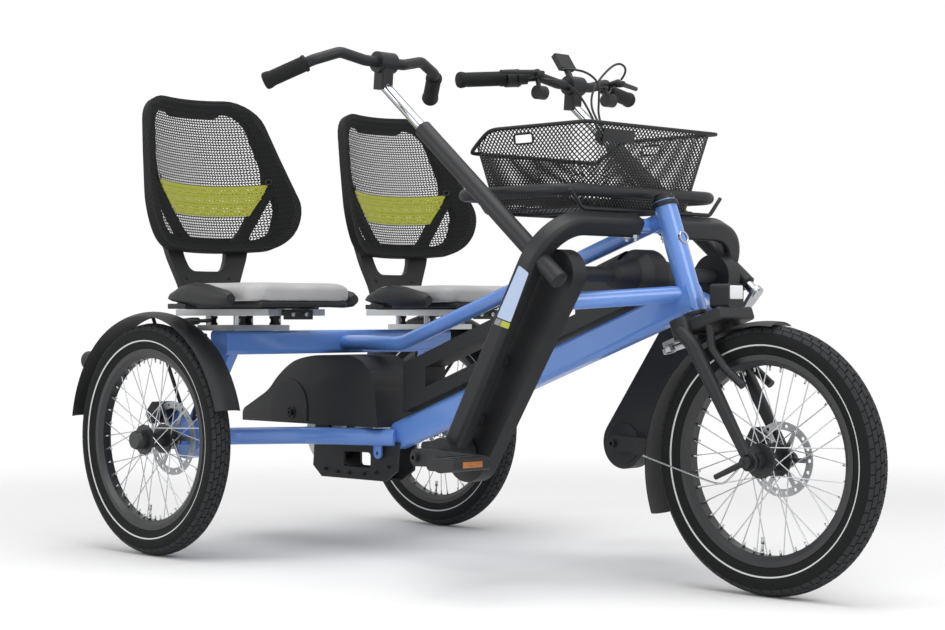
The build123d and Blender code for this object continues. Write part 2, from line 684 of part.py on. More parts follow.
ear = slab(
    capsule((0, WHEEL_RADIUS), (caliper_foot.X, caliper_foot.Z), EAR_RADIUS, EAR_RADIUS),
    -CARRIER_OUTER_Y,
    -CARRIER_OUTER_Y + EAR_THICKNESS,
)
collar = rod(carrier_out, collar_end, COLLAR_RADIUS)
carrier = boss.fuse(ear, collar, rod(carrier_out, stub_end, REAR_AXLE_RADIUS))
parts["wheel_carriers"] = pair(carrier)
parts["rear_calipers"] = pair(rear_caliper)

strut_top = Vector(beam_x - STRUT_TOP_IN[0], -STRUT_TOP_Y, BEAM_BOTTOM_Z + STRUT_TOP_IN[1])
strut_foot = Vector(STRUT_FOOT_X, -(CARRIER_INNER_Y + CARRIER_OUTER_Y) / 2, WHEEL_RADIUS)
strut = box_bar(strut_top, strut_foot, STRUT_ACROSS, STRUT_DEPTH, STRUT_WIDTH, STRUT_CORNER)
strut_room_z = WHEEL_RADIUS - STRUT_ROOM[2] / 4
strut_room = Pos(0, -CARRIER_INNER_Y + STRUT_ROOM[1] / 2, strut_room_z) * Box(*STRUT_ROOM)
strut = (strut - boss - ear - strut_room).solids().sort_by(SortBy.VOLUME)[-1]
parts["seat_beam"] = beam.fuse(strut, mirrored(strut))

# Lower tubes from the wheel carriers in to the foot of the down tube, with bolting lugs
lower_points = [
    (LOWER_TUBE_X, -CARRIER_INNER_Y, WHEEL_RADIUS),
    (LOWER_TUBE_X, -LOWER_TUBE_BEND_Y, WHEEL_RADIUS),
    (LOWER_TUBE_KNEE[0], -LOWER_TUBE_KNEE[1], WHEEL_RADIUS),
    (DOWN_TUBE_FOOT[0] + LOWER_TUBE_LET_IN, -LOWER_TUBE_END_Y, WHEEL_RADIUS),
]
lower = bent_tube(lower_points, LOWER_TUBE_RADIUS, LOWER_TUBE_BEND)
lug = slab(
    capsule((LUG_X, LUG_HOLE_Z), (LUG_X, WHEEL_RADIUS - LUG_ROOT), LUG_WIDTH / 2, LUG_WIDTH / 2),
    -LUG_Y - LUG_THICKNESS,
    -LUG_Y,
)
lug = lug - rod((LUG_X, -LUG_Y - OVERCUT, LUG_HOLE_Z), (LUG_X, 0, LUG_HOLE_Z), LUG_HOLE_RADIUS)
lower = lower.fuse(lug) - down_solid
parts["lower_tubes"] = pair(lower.solids().sort_by(SortBy.VOLUME)[-1])

# Outriggers from the steering head out to the chain cases
root = Vector(OUTRIGGER_ROOT[0], -OUTRIGGER_ROOT[1], OUTRIGGER_ROOT[2])
end = Vector(OUTRIGGER_END[0], -OUTRIGGER_END[1], OUTRIGGER_END[2])
outrigger = rod(root, end, OUTRIGGER_RADIUS) - head_cut - parts["down_tube"]
outrigger = outrigger.solids().sort_by(SortBy.VOLUME)[-1]
parts["outriggers"] = pair(outrigger)

# Drive: gear hub ahead of the rear axle, shafts out to the wheels and a cradle under the hub
drive_centre = Vector(DRIVE_X, 0, WHEEL_RADIUS)
drive_boss = DRIVE_RADIUS * DRIVE_STEPS[0]
drive_band = DRIVE_HALF_WIDTH * DRIVE_STEPS[1]
drive_web = DRIVE_RADIUS * DRIVE_STEPS[2]
drive_profile = profile_of(
    (-DRIVE_HALF_WIDTH, 0),
    (-DRIVE_HALF_WIDTH, drive_boss),
    (-drive_band, drive_web),
    (-drive_band, DRIVE_RADIUS),
    (drive_band, DRIVE_RADIUS),
    (drive_band, drive_web),
    (DRIVE_HALF_WIDTH, drive_boss),
    (DRIVE_HALF_WIDTH, 0),
)
parts["gear_hub"] = turned(drive_profile, drive_centre)
parts["drive_shaft"] = rod(
    (0, -CARRIER_INNER_Y, WHEEL_RADIUS), (0, CARRIER_INNER_Y, WHEEL_RADIUS), DRIVE_SHAFT_RADIUS
)
cradle_outline = profile_of(
    (DRIVE_X - CRADLE_EAR[0], WHEEL_RADIUS + CRADLE_EAR[1]),
    (DRIVE_X + CRADLE_EAR[0], WHEEL_RADIUS + CRADLE_EAR[1]),
    (DRIVE_X + 50, CRADLE_TOP_Z),
    (DOWN_TUBE_FOOT[0] + 26, CRADLE_TOP_Z),
    (DOWN_TUBE_FOOT[0] + 20, CRADLE_CHIN_Z),
    (DOWN_TUBE_FOOT[0] - 18, CRADLE_BOTTOM_Z),
    (DRIVE_X, CRADLE_BOTTOM_Z),
    (DRIVE_X - 30, CRADLE_CHIN_Z),
)
cradle_window_at = Pos(DRIVE_X + CRADLE_WINDOW_AT[0], WHEEL_RADIUS + CRADLE_WINDOW_AT[1])
cradle_window = cradle_window_at * RectangleRounded(*CRADLE_WINDOW)
cradle_side = slab(
    cradle_outline - cradle_window, -DRIVE_HALF_WIDTH - CRADLE_THICKNESS, -DRIVE_HALF_WIDTH
)
cradle_floor = Pos(DRIVE_X + CRADLE_FLOOR_X, 0, CRADLE_BOTTOM_Z + CRADLE_FLOOR[1] / 2) * Box(
    CRADLE_FLOOR[0], 2 * DRIVE_HALF_WIDTH, CRADLE_FLOOR[1]
)
cradle = cradle_side.fuse(mirrored(cradle_side), cradle_floor)
parts["drive_cradle"] = cradle - parts["down_tube"] - parts["lower_tubes"]

# Rear cover, a moulded hood over the gear hub, open below, with a raised round-topped panel on each side
cover_points = [
    (COVER_REAR_X, COVER_BOTTOM_Z),
    (COVER_REAR_X, COVER_REAR_Z),
    (COVER_TOP_X[0], COVER_TOP_Z),
    (COVER_TOP_X[1], COVER_TOP_Z),
    (GUARD_REAR_X - SEAT_GAP, COVER_FRONT_Z),
    (GUARD_REAR_X - SEAT_GAP, COVER_BOTTOM_Z),
]
cover_outline = profile_of(*cover_points)
cover_outline = fillet([v for v in cover_outline.vertices() if v.Y > COVER_BOTTOM_Z + 1], COVER_BEND)
cover = slab(cover_outline, -COVER_HALF_WIDTH, COVER_HALF_WIDTH)
cover_top_edges = cover.edges().filter_by_position(Axis.Z, COVER_BOTTOM_Z + 4, COVER_TOP_Z + 1)
cover_top_edges = [e for e in cover_top_edges if abs(abs(e.center().Y) - COVER_HALF_WIDTH) < 0.1]
cover = fillet(cover_top_edges, COVER_EDGE)
cover_room_half = COVER_HALF_WIDTH - COVER_WALL
cover_inside = slab(offset(cover_outline, -COVER_ROOF), -cover_room_half, cover_room_half)
cover_inside = cover_inside + Pos(0, 0, -COVER_ROOF - COVER_ROOM) * cover_inside
down_room = box_bar(
    DOWN_TUBE_FOOT,
    down_end,
    LEFT,
    DOWN_TUBE_WIDTH + 2 * COVER_ROOM,
    DOWN_TUBE_HEIGHT + 2 * COVER_ROOM,
    DOWN_TUBE_CORNER + COVER_ROOM,
)
panel_side = COVER_HALF_WIDTH + COVER_PANEL_RAISE
panel_post = (COVER_PANEL_Z + COVER_BOTTOM_Z) / 2
panel_outline = Pos(COVER_PANEL_X, COVER_PANEL_Z) * Circle(COVER_PANEL_RADIUS) + Pos(
    COVER_PANEL_X, panel_post
) * Rectangle(2 * COVER_PANEL_RADIUS, COVER_PANEL_Z - COVER_BOTTOM_Z)
below_cover = Pos(COVER_PANEL_X, COVER_BOTTOM_Z - COVER_PANEL_RADIUS) * Rectangle(
    2 * COVER_PANEL_RADIUS + 2, 2 * COVER_PANEL_RADIUS
)
panel = slab(panel_outline - below_cover, -panel_side, -cover_room_half - COVER_ROOM)
recess = rod(
    (COVER_BOLT[0], -panel_side - 1, COVER_BOLT[1]),
    (COVER_BOLT[0], -panel_side + COVER_BOLT_RECESS[1], COVER_BOLT[1]),
    COVER_BOLT_RECESS[0],
)
step_outline = Pos((COVER_STEP_X + GUARD_REAR_X) / 2, (COVER_TOP_Z + COVER_BOTTOM_Z) / 2) * Rectangle(
    GUARD_REAR_X - COVER_STEP_X, 2 * (COVER_TOP_Z - COVER_BOTTOM_Z)
)
step = slab(step_outline, -panel_side - 1, -COVER_HALF_WIDTH + COVER_STEP_DEPTH)
cover = cover.fuse(panel, mirrored(panel)) - recess - mirrored(recess) - step - mirrored(step)
parts["rear_cover"] = cover - cover_inside - down_room

# Motor across the frame with a shaft out to each chain case
motor_side = [
    (0, 0),
    (0, MOTOR_RADIUS),
    (-MOTOR_HALF_WIDTH * 0.55, MOTOR_RADIUS),
    (-MOTOR_HALF_WIDTH, MOTOR_RADIUS - MOTOR_CHAMFER),
    (-MOTOR_HALF_WIDTH - MOTOR_NECK_LENGTHS[0], MOTOR_NECK_RADII[0]),
    (-MOTOR_HALF_WIDTH - MOTOR_NECK_LENGTHS[1], MOTOR_NECK_RADII[1]),
    (-MOTOR_HALF_WIDTH - MOTOR_NECK_LENGTHS[2], CROSS_SHAFT_RADIUS),
    (-CASE_INNER_Y, CROSS_SHAFT_RADIUS),
    (-CASE_INNER_Y, 0),
]
motor_centre = Vector(MOTOR_X, 0, MOTOR_Z)
motor_half = turned(profile_of(*motor_side), motor_centre)
parts["drive_motor"] = motor_half.fuse(mirrored(motor_half)) - parts["outriggers"]

# Chain guard above the down tube: two sloping rails joined at both ends, open between
guard_run = MOTOR_X - GUARD_REAR_X
guard_slope = math.tan(slope)
guard_rear_z = MOTOR_Z - guard_run * guard_slope
guard_half = GUARD_HALF_HEIGHT / math.cos(slope)
window_half = guard_half - GUARD_BEAM / math.cos(slope)


def guard_line(x, offset_z):
    return (x, guard_rear_z + (x - GUARD_REAR_X) * guard_slope + offset_z)


guard_outline = profile_of(
    guard_line(GUARD_REAR_X, -guard_half),
    guard_line(MOTOR_X, -guard_half),
    guard_line(MOTOR_X, guard_half),
    guard_line(GUARD_REAR_X, guard_half),
)
guard_window = profile_of(
    guard_line(GUARD_REAR_X + GUARD_WINDOW_REAR, -window_half),
    guard_line(MOTOR_X - GUARD_WINDOW_FRONT, -window_half),
    guard_line(MOTOR_X - GUARD_WINDOW_FRONT, window_half),
    guard_line(GUARD_REAR_X + GUARD_WINDOW_REAR, window_half),
)
guard = slab(guard_outline - guard_window, -GUARD_HALF_WIDTH, GUARD_HALF_WIDTH)
pocket_half = GUARD_HALF_WIDTH + OVERCUT
motor_pocket = rod(motor_centre - LEFT * pocket_half, motor_centre + LEFT * pocket_half, MOTOR_RADIUS)
guard = guard - motor_pocket - parts["down_tube"] - parts["top_tube"] - parts["outriggers"]
parts["chain_guard"] = guard.solids().sort_by(SortBy.VOLUME)[-1]

# Pedal units: a boom from the steering head down to the bottom bracket on each side
boom_rise = math.tan(math.radians(BOOM_SLOPE))
boom_corner = Vector(BB_X + (BOOM_TOP_Z - BB_Z) * boom_rise, -UNIT_Y, BOOM_TOP_Z)
boom_end = Vector(boom_corner.X, -BOOM_END_Y, BOOM_TOP_Z)
boom_path = FilletPolyline(BB_RIGHT, boom_corner, boom_end, radius=BOOM_BEND)
boom_section = Plane(origin=BB_RIGHT, x_dir=LEFT, z_dir=boom_path % 0) * RectangleRounded(
    BOOM_SIZE, BOOM_SIZE, BOOM_CORNER
)
boom = sweep(boom_section, path=boom_path)
shell_ends = [BB_RIGHT + LEFT * side * BB_HALF_WIDTH for side in (-1, 1)]
bore_half = BB_HALF_WIDTH + OVERCUT
spindle_bore = rod(BB_RIGHT - LEFT * bore_half, BB_RIGHT + LEFT * bore_half, SPINDLE_RADIUS + RUN_FIT)
sleeve_axis = [Vector(p.X, -p.Y, p.Z) for p in (on_column(SLEEVE_START), on_column(SLEEVE_END))]
sleeve_solid = rod(*sleeve_axis, SLEEVE_RADIUS)
boom = boom.fuse(rod(*shell_ends, BB_RADIUS))
boom = boom - spindle_bore - sleeve_solid
parts["pedal_booms"] = pair(boom)
column_bore = rod(on_column(SLEEVE_START - OVERCUT), on_column(SLEEVE_END + OVERCUT), COLUMN_RADIUS + RUN_FIT)
parts["column_sleeves"] = pair(mirrored(mirrored(sleeve_solid) - column_bore))

# Stubs on the top tube that the booms are clamped to
stub_line = [(boom_corner.X, side * BOOM_END_Y, BOOM_TOP_Z) for side in (-1, 1)]
parts["top_tube"] = parts["top_tube"].fuse(rod(*stub_line, STUB_RADIUS) - head_cut)

# Chain cases beside the booms, with spacers on to the booms
case_outline = capsule((BB_X, BB_Z), (MOTOR_X, MOTOR_Z), CASE_LOW_RADIUS, CASE_HIGH_RADIUS)
case = slab(case_outline, -CASE_OUTER_Y, -CASE_INNER_Y)
case_hole = rod(BB_RIGHT, BB_RIGHT + LEFT * (UNIT_Y - CASE_INNER_Y + OVERCUT), SPINDLE_RADIUS + MOVING_GAP)
spacers = []
for along in CASE_SPACERS:
    spacer_end = BB_RIGHT + (boom_path % 0) * along + LEFT * BOOM_SIZE / 2
    spacers.append(rod((spacer_end.X, -CASE_OUTER_Y, spacer_end.Z), spacer_end, CASE_SPACER_RADIUS))
parts["chain_cases"] = pair(case.fuse(*spacers) - case_hole - outrigger)

# Cranks: spindle and two arms in one; the arm on each unit's right points forward.
# Pedals: open platforms, a rail front and rear of the barrel on the pin
for side, sign in (("right", -1), ("left", 1)):
    inner_y, outer_y = sign * CRANK_INNER_Y, sign * CRANK_OUTER_Y
    spindle = rod((BB_X, inner_y, BB_Z), (BB_X, outer_y, BB_Z), SPINDLE_RADIUS)
    arms = []
    for arm_y in (inner_y, outer_y):
        forward = 1 if arm_y == min(inner_y, outer_y) else -1
        tip = (BB_X + forward * CRANK_LENGTH, BB_Z)
        outline = capsule((BB_X, BB_Z), tip, CRANK_ROOT_RADIUS, CRANK_TIP_RADIUS)
        arms.append(slab(outline, arm_y - CRANK_THICKNESS / 2, arm_y + CRANK_THICKNESS / 2))
        away = -1 if arm_y == min(inner_y, outer_y) else 1
        pin_end = arm_y + away * (CRANK_THICKNESS / 2 + PEDAL_GAP + PEDAL_LENGTH - PEDAL_PIN_SHORT)
        arms.append(rod((tip[0], arm_y, tip[1]), (tip[0], pin_end, tip[1]), PEDAL_PIN_RADIUS))
        start = arm_y + away * (CRANK_THICKNESS / 2 + PEDAL_GAP)
        finish = start + away * PEDAL_LENGTH
        body = Pos(tip[0], (start + finish) / 2, tip[1]) * Box(PEDAL_DEPTH, PEDAL_LENGTH, PEDAL_HEIGHT)
        body = fillet(body.edges().filter_by(Axis.Y), PEDAL_EDGE)
        bore_end = (tip[0], pin_end + away * PEDAL_PIN_ROOM, tip[1])
        body = body - rod((tip[0], arm_y, tip[1]), bore_end, PEDAL_PIN_RADIUS + RUN_FIT)
        window = Box(PEDAL_DEPTH / 2 - PEDAL_RAIL - PEDAL_BARREL, PEDAL_LENGTH - 2 * PEDAL_RAIL, 2 * PEDAL_HEIGHT)
        window_x = (PEDAL_DEPTH / 2 - PEDAL_RAIL + PEDAL_BARREL) / 2
        for end in (-1, 1):
            body = body - Pos(tip[0] + end * window_x, (start + finish) / 2, tip[1]) * window
        place = "inner" if arm_y == inner_y else "outer"
        parts[f"pedal_{side}_{place}"] = body
    parts[f"cranks_{side}"] = spindle.fuse(*arms)

# Passenger's handlebar, fixed in the right-hand sleeve
quill = rod(on_column(COLUMN_START), on_column(QUILL_LENGTH), COLUMN_RADIUS)
parts["passenger_quill"] = mirrored(quill)
stem_axis = [(STEM_X, COLUMN_Y + side * STEM_WIDTH / 2, STEM_Z) for side in (-1, 1)]
neck_foot = (COLUMN_TOP[0] + NECK_FOOT[0], COLUMN_Y, COLUMN_TOP[1] + NECK_FOOT[1])
neck = box_bar(neck_foot, (STEM_X, COLUMN_Y, STEM_Z), LEFT, *NECK_SIZE)
stem = rod(*stem_axis, STEM_RADIUS).fuse(neck)
stem = stem - quill

# Bar points measured from the stem: forward, out, up
PASSENGER_BAR = [(-102.0, 224.0, -48.0), (-26.0, 165.0, -7.0), (-9.0, 110.0, 12.0), (0.0, 52.0, 0.0)]
DRIVER_BAR = [(-78.0, 280.0, -4.0), (-47.0, 160.0, 7.0), (-9.0, 110.0, 13.0), (0.0, 52.0, 0.0)]


def make_bar(points, middle_y):
    """A handlebar bent to the same shape on both sides, and its two grips."""
    left = [(STEM_X + x, middle_y + out, STEM_Z + z) for x, out, z in points]
    right = [(STEM_X + x, middle_y - out, STEM_Z + z) for x, out, z in reversed(points)]
    bar = bent_tube(left + right, BAR_RADIUS, BAR_BEND)
    grips = []
    for outer, inner in ((left[0], left[1]), (right[-1], right[-2])):
        reach = (Vector(*outer) - Vector(*inner)).normalized()
        grips.append(rod(Vector(*inner) + reach * GRIP_START, Vector(*outer) + reach * GRIP_OVERHANG, GRIP_RADIUS))
    grips = Compound([(g - bar).solids().sort_by(SortBy.VOLUME)[-1] for g in grips])
    return bar, grips


passenger_bar, parts["passenger_grips"] = make_bar(PASSENGER_BAR, -COLUMN_Y)
parts["passenger_bar"] = passenger_bar.fuse(mirrored(stem))

# Driver's handlebar on a column that turns in the left-hand sleeve
parts["driver_column"] = rod(on_column(COLUMN_START), on_column(ARM_AT + COLUMN_TAIL), COLUMN_RADIUS)
driver_bar, parts["driver_grips"] = make_bar(DRIVER_BAR, COLUMN_Y)
parts["driver_bar"] = driver_bar.fuse(stem)


def from_stem(forward, out, up):
    """A point measured from the driver's stem."""
    return Vector(STEM_X + forward, COLUMN_Y + out, STEM_Z + up)


# Driver's controls: a brake lever on each side of the bar, the display on the stem and two bells under the bar
driver_points = [from_stem(x, out, z) for x, out, z in DRIVER_BAR]
driver_points += [from_stem(x, -out, z) for x, out, z in reversed(DRIVER_BAR)]
bar_room = bent_tube(driver_points, BAR_RADIUS + SEAT_GAP, BAR_BEND)
clamp_run = (driver_points[2] - driver_points[1]).normalized() * BRAKE_CLAMP_LENGTH / 2
clamp_at = (driver_points[1] + driver_points[2]) / 2
knuckle = from_stem(*BRAKE_KNUCKLE)
brake = rod(clamp_at - clamp_run, clamp_at + clamp_run, BRAKE_CLAMP_RADIUS)
brake = brake.fuse(
    rod(clamp_at, knuckle, BRAKE_BODY_RADIUS),
    Pos(*knuckle) * Sphere(BRAKE_BODY_RADIUS),
    taper(knuckle, from_stem(*BRAKE_BLADE_TIP), *BRAKE_BLADE_RADII),
)
brake = (brake - bar_room).solids().sort_by(SortBy.VOLUME)[-1]
bell_at = from_stem(*BELL_AT)
bell_half = LEFT * BELL_LENGTH / 2
bell = rod(bell_at - bell_half, bell_at + bell_half, BELL_RADIUS)
bell = bell.fuse(rod(bell_at, driver_points[2], BELL_STALK_RADIUS)) - bar_room
bell = bell.solids().sort_by(SortBy.VOLUME)[-1]
display_at = from_stem(DISPLAY_AT[0], 0, DISPLAY_AT[1])
display = Pos(*display_at) * Rot(0, DISPLAY_TILT, 0) * Box(*DISPLAY_SIZE)
display_stalk = rod(display_at, from_stem(0, 0, 0), DISPLAY_STALK_RADIUS)
display = (display.fuse(display_stalk) - stem - driver_bar).solids().sort_by(SortBy.VOLUME)[-1]
over_stem = Plane(origin=(0, COLUMN_Y, 0), z_dir=LEFT)
controls = [brake, mirror(brake, over_stem), bell, mirror(bell, over_stem), display]
parts["driver_controls"] = Compound([shape.solids()[0] for shape in controls])
arm_plane = Plane(origin=on_column(ARM_AT - ARM_THICKNESS / 2), x_dir=COLUMN_BACK, z_dir=COLUMN_DOWN)
arm_outline = make_hull((Circle(ARM_ROOT_RADIUS) + Pos(ARM_LENGTH, 0) * Circle(ARM_TIP_RADIUS)).edges())
arm = extrude(arm_plane * arm_outline, ARM_THICKNESS)
arm = arm - rod(on_column(ARM_AT - OVERCUT), on_column(ARM_AT + OVERCUT), COLUMN_RADIUS)
ball_at = on_column(ARM_AT, back=ARM_LENGTH)
ball_centre = ball_at + COLUMN_DOWN * (ARM_THICKNESS / 2 + BALL_RADIUS + SOCKET_WALL + ARM_LIFT)
ball = Pos(*ball_centre) * Sphere(BALL_RADIUS)
arm = arm.fuse(rod(ball_at, ball_centre, BALL_PIN_RADIUS), ball)
parts["steering_arm"] = arm

# Tie rod from the driver's arm to the fork's lever: a ball socket at the arm, an eye at the lever
lever_ball = Vector(*LEVER_BALL)
socket = Pos(*ball_centre) * Sphere(BALL_RADIUS + SOCKET_WALL)
socket_room = Pos(*ball_centre) * Sphere(BALL_RADIUS + RUN_FIT)
socket_mouth = rod(ball_centre, ball_centre - COLUMN_DOWN * 2 * BALL_RADIUS, BALL_PIN_RADIUS + MOVING_GAP)
eye_ends = [lever_ball + HEAD_UP * side * ROD_EYE_HEIGHT / 2 for side in (-1, 1)]
eye_ring = rod(*eye_ends, ROD_EYE_BORE + ROD_EYE_WALL)
eye_hole = rod(lever_ball - HEAD_UP * OVERCUT, lever_ball + HEAD_UP * OVERCUT, ROD_EYE_BORE)
tie_rod = rod(ball_centre, lever_ball, ROD_RADIUS).fuse(socket, eye_ring)
parts["tie_rod"] = tie_rod - socket_room - socket_mouth - eye_hole

# Fork: steerer, crown, two bent legs and the axle plates
crown_plane = Plane(origin=on_head(-CROWN_GAP - CROWN_HEIGHT), x_dir=LEFT, z_dir=HEAD_UP)
crown = extrude(crown_plane * RectangleRounded(CROWN_WIDTH, CROWN_DEPTH, CROWN_CORNER), CROWN_HEIGHT)
steerer = rod(on_head(-CROWN_HEIGHT / 2), on_head(HEAD_LENGTH + LOCKNUT_HEIGHT / 2), STEERER_RADIUS)
nut = rod(on_head(HEAD_LENGTH + LOCKNUT_GAP), on_head(HEAD_LENGTH + LOCKNUT_HEIGHT), LOCKNUT_RADIUS)
leg_y = -LEG_SPACING / 2
leg_start = on_head(-LEG_START, 0, leg_y)
knee = Vector(LEG_KNEE_X, leg_y, LEG_KNEE_Z)
axle_at = Vector(WHEELBASE, leg_y, WHEEL_RADIUS)
leg_down = (axle_at - knee).normalized()
leg_mid = knee + leg_down * LEG_STRAIGHT
leg_end = axle_at - leg_down * LEG_END_GAP
leg = bent_tube([leg_start, knee, leg_mid], LEG_TOP_RADIUS, LEG_KNEE_BEND)
leg = leg.fuse(taper(leg_mid, leg_end, LEG_TOP_RADIUS, LEG_END_RADIUS))
plate = rod(
    axle_at - LEFT * DROPOUT_THICKNESS / 2, axle_at + LEFT * DROPOUT_THICKNESS / 2, DROPOUT_RADIUS
)
axle_hole = rod(FRONT_HUB - LEFT * LEG_SPACING, FRONT_HUB + LEFT * LEG_SPACING, FRONT_AXLE_RADIUS)
fork_side = leg.fuse(plate) - axle_hole
parts["fork"] = crown.fuse(steerer, nut, fork_side, mirrored(fork_side))

# Front axle with its quick-release lever on the right
skewer_reach = LEG_SPACING / 2 + DROPOUT_THICKNESS / 2
front_axle = rod(FRONT_HUB - LEFT * skewer_reach, FRONT_HUB + LEFT * skewer_reach, FRONT_AXLE_RADIUS)
axle_nuts = []
for side in (-1, 1):
    nut_start = FRONT_HUB + LEFT * side * skewer_reach
    axle_nuts.append(rod(nut_start, nut_start + LEFT * side * AXLE_NUT_LENGTH, AXLE_NUT_RADIUS))
lever_root = FRONT_HUB - LEFT * (skewer_reach + AXLE_NUT_LENGTH * 2 / 3)
release = taper(lever_root, lever_root + Vector(*RELEASE_LEVER), *RELEASE_RADII)
parts["front_axle"] = front_axle.fuse(*axle_nuts, release)

# Lever on the fork crown that the tie rod pushes
lever_top = lever_ball + HEAD_UP * (ROD_EYE_HEIGHT / 2 + MOVING_GAP)
lever_plane = Plane(origin=lever_top, x_dir=HEAD_FORWARD, z_dir=HEAD_UP)
lever_seat = on_head(-LEVER_ROOT_DROP, -CROWN_DEPTH / 2 + LEVER_LET_IN, LEVER_BALL[1])
crown_in_plane = lever_plane.to_local_coords(lever_seat)
lever_outline = make_hull(
    (Circle(LEVER_TIP_RADIUS) + Pos(crown_in_plane.X, crown_in_plane.Y) * Circle(LEVER_ROOT_RADIUS)).edges()
)
lever = extrude(lever_plane * lever_outline, LEVER_THICKNESS) - crown
lever = lever.solids().sort_by(SortBy.VOLUME)[-1]
lever_pin = rod(lever_top + HEAD_UP * LEVER_THICKNESS / 4, lever_ball, BALL_PIN_RADIUS)
parts["steering_lever"] = lever.fuse(lever_pin)

# Front brake caliper on the left leg
leg_left = mirrored(fork_side)
front_caliper = make_caliper(
    front_rotor_centre, FRONT_ROTOR_RADIUS, FRONT_CALIPER_ANGLE, *FRONT_CALIPER_REACH
)
parts["front_caliper"] = (front_caliper - leg_left).solids().sort_by(SortBy.VOLUME)[-1]

# Front fender with its rear flap, and the ring lock that straddles the tyre
front_arch = Vector(WHEELBASE, 0, WHEEL_RADIUS - FRONT_FENDER_DROP)
front_fender = make_fender(front_arch, FRONT_FENDER_RADIUS - FENDER_RISE, FRONT_FENDER_START, FRONT_FENDER_ARC)
bracket = rod(
    polar(front_arch, FRONT_FENDER_RADIUS - FENDER_WALL / 2, FENDER_BRACKET_ANGLE),
    polar(front_arch, FRONT_FENDER_RADIUS + FENDER_BRACKET_LENGTH, FENDER_BRACKET_ANGLE),
    FENDER_BRACKET_RADIUS,
)
bracket = (bracket - parts["fork"]).solids().sort_by(Axis.X)[-1]
parts["front_fender"] = front_fender.fuse(bracket)

lock_place = Pos(HEAD_FOOT_X + LOCK_AT[0], 0, HEAD_FOOT_Z + LOCK_AT[1])
lock_body = lock_place * Rot(0, LOCK_TILT, 0) * Box(*LOCK_SIZE)
lock_body = fillet(lock_body.edges(), LOCK_EDGE)
lock_points = [(HEAD_FOOT_X + x, -LOCK_ARM_Y, HEAD_FOOT_Z + z) for x, z in LOCK_ARM_POINTS]
lock_arm = bent_tube(lock_points, LOCK_ARM_RADIUS, LOCK_ARM_BEND)
parts["ring_lock"] = lock_body.fuse(lock_arm, mirrored(lock_arm)) - parts["fork"]

# Headlamp on a bracket above the ring lock
lamp = Pos(*LAMP_AT) * Box(*LAMP_SIZE)
lamp = fillet(lamp.edges().filter_by(Axis.X), LAMP_EDGE)
lamp_bracket = Pos(LAMP_AT[0] + LAMP_BRACKET_AT[0], 0, LAMP_AT[2] + LAMP_BRACKET_AT[1]) * Box(*LAMP_BRACKET)
parts["headlamp"] = lamp.fuse(lamp_bracket) - parts["ring_lock"]

# Rear fenders with stays to the wheel carriers, and tail lamps
fender_inner_y = -HALF_TRACK + FENDER_HALF_WIDTH - STAY_LET_IN[2]
stay_foot = Vector(0, -CARRIER_OUTER_Y + STAY_LET_IN[0], WHEEL_RADIUS)
rear_fender = make_fender(RIGHT_HUB, REAR_FENDER_RADIUS - FENDER_RISE, REAR_FENDER_START, REAR_FENDER_ARC)
stays = []
for degrees in STAY_ANGLES:
    foot = polar(stay_foot, CARRIER_RADIUS - STAY_LET_IN[1], degrees)
    tip_radius = REAR_FENDER_RADIUS - FENDER_RISE + STAY_LET_IN[3]
    tip = polar((0, fender_inner_y, WHEEL_RADIUS), tip_radius, degrees)
    stays.append(rod(foot, tip, STAY_RADIUS))
rear_fender = rear_fender.fuse(*stays) - carrier - strut
parts["rear_fenders"] = pair(rear_fender.solids().sort_by(SortBy.VOLUME)[-1])

lamp_out = polar((0, 0, 0), 1, 180)
lamp_foot = polar(RIGHT_HUB, REAR_FENDER_RADIUS - TAIL_LAMP_LET_IN, TAIL_LAMP_ANGLE)
tail_lamp = rod(lamp_foot, lamp_foot + lamp_out * TAIL_LAMP_LENGTH, TAIL_LAMP_RADIUS) - rear_fender
parts["tail_lamps"] = pair(tail_lamp.solids().sort_by(Axis.X)[0])

# Rack: a hoop round the basket, with wires and rails under its floor
hoop_x = (RACK_FRONT_X + RACK_REAR_X) / 2
hoop_points = [
    (hoop_x, RACK_HALF_WIDTH, RACK_Z),
    (RACK_FRONT_X, RACK_HALF_WIDTH, RACK_Z),
    (RACK_FRONT_X, -RACK_HALF_WIDTH, RACK_Z),
    (hoop_x, -RACK_HALF_WIDTH, RACK_Z),
]
hoop_front = bent_tube(hoop_points, RACK_RADIUS, RACK_CORNER)
hoop = hoop_front.fuse(mirror(hoop_front, Plane(origin=(hoop_x, 0, 0), z_dir=(1, 0, 0))))
boom_tilt = math.radians(BOOM_SLOPE)
boom_rise_top = (BOOM_SIZE / 2 - BOOM_CORNER) * (math.cos(boom_tilt) + math.sin(boom_tilt)) + BOOM_CORNER
wire_z = BOOM_TOP_Z + boom_rise_top + SEAT_GAP + RACK_WIRE_RADIUS
front_wire_x = boom_corner.X - (BOOM_SIZE / 2 - BOOM_CORNER) * (math.cos(boom_tilt) - math.sin(boom_tilt))
wires = []
wire_in = RACK_HALF_WIDTH - RACK_WIRE_IN
for x in (RACK_REAR_X + RACK_WIRE_REAR, front_wire_x):
    wire_points = [
        (x, -RACK_HALF_WIDTH, RACK_Z),
        (x, -wire_in, wire_z),
        (x, wire_in, wire_z),
        (x, RACK_HALF_WIDTH, RACK_Z),
    ]
    wires.append(bent_tube(wire_points, RACK_WIRE_RADIUS, RACK_WIRE_BEND))
rail_ends = (RACK_REAR_X + RACK_RAIL_ENDS[0], RACK_FRONT_X + RACK_RAIL_ENDS[1])
for y in (-RACK_RAIL_Y, RACK_RAIL_Y):
    wires.append(rod((rail_ends[0], y, wire_z), (rail_ends[1], y, wire_z), RACK_RAIL_RADIUS))
parts["basket_rack"] = hoop.fuse(*wires) - parts["head_tube"]

# Basket, a thin open-topped shell whose rear wall is lower than its front


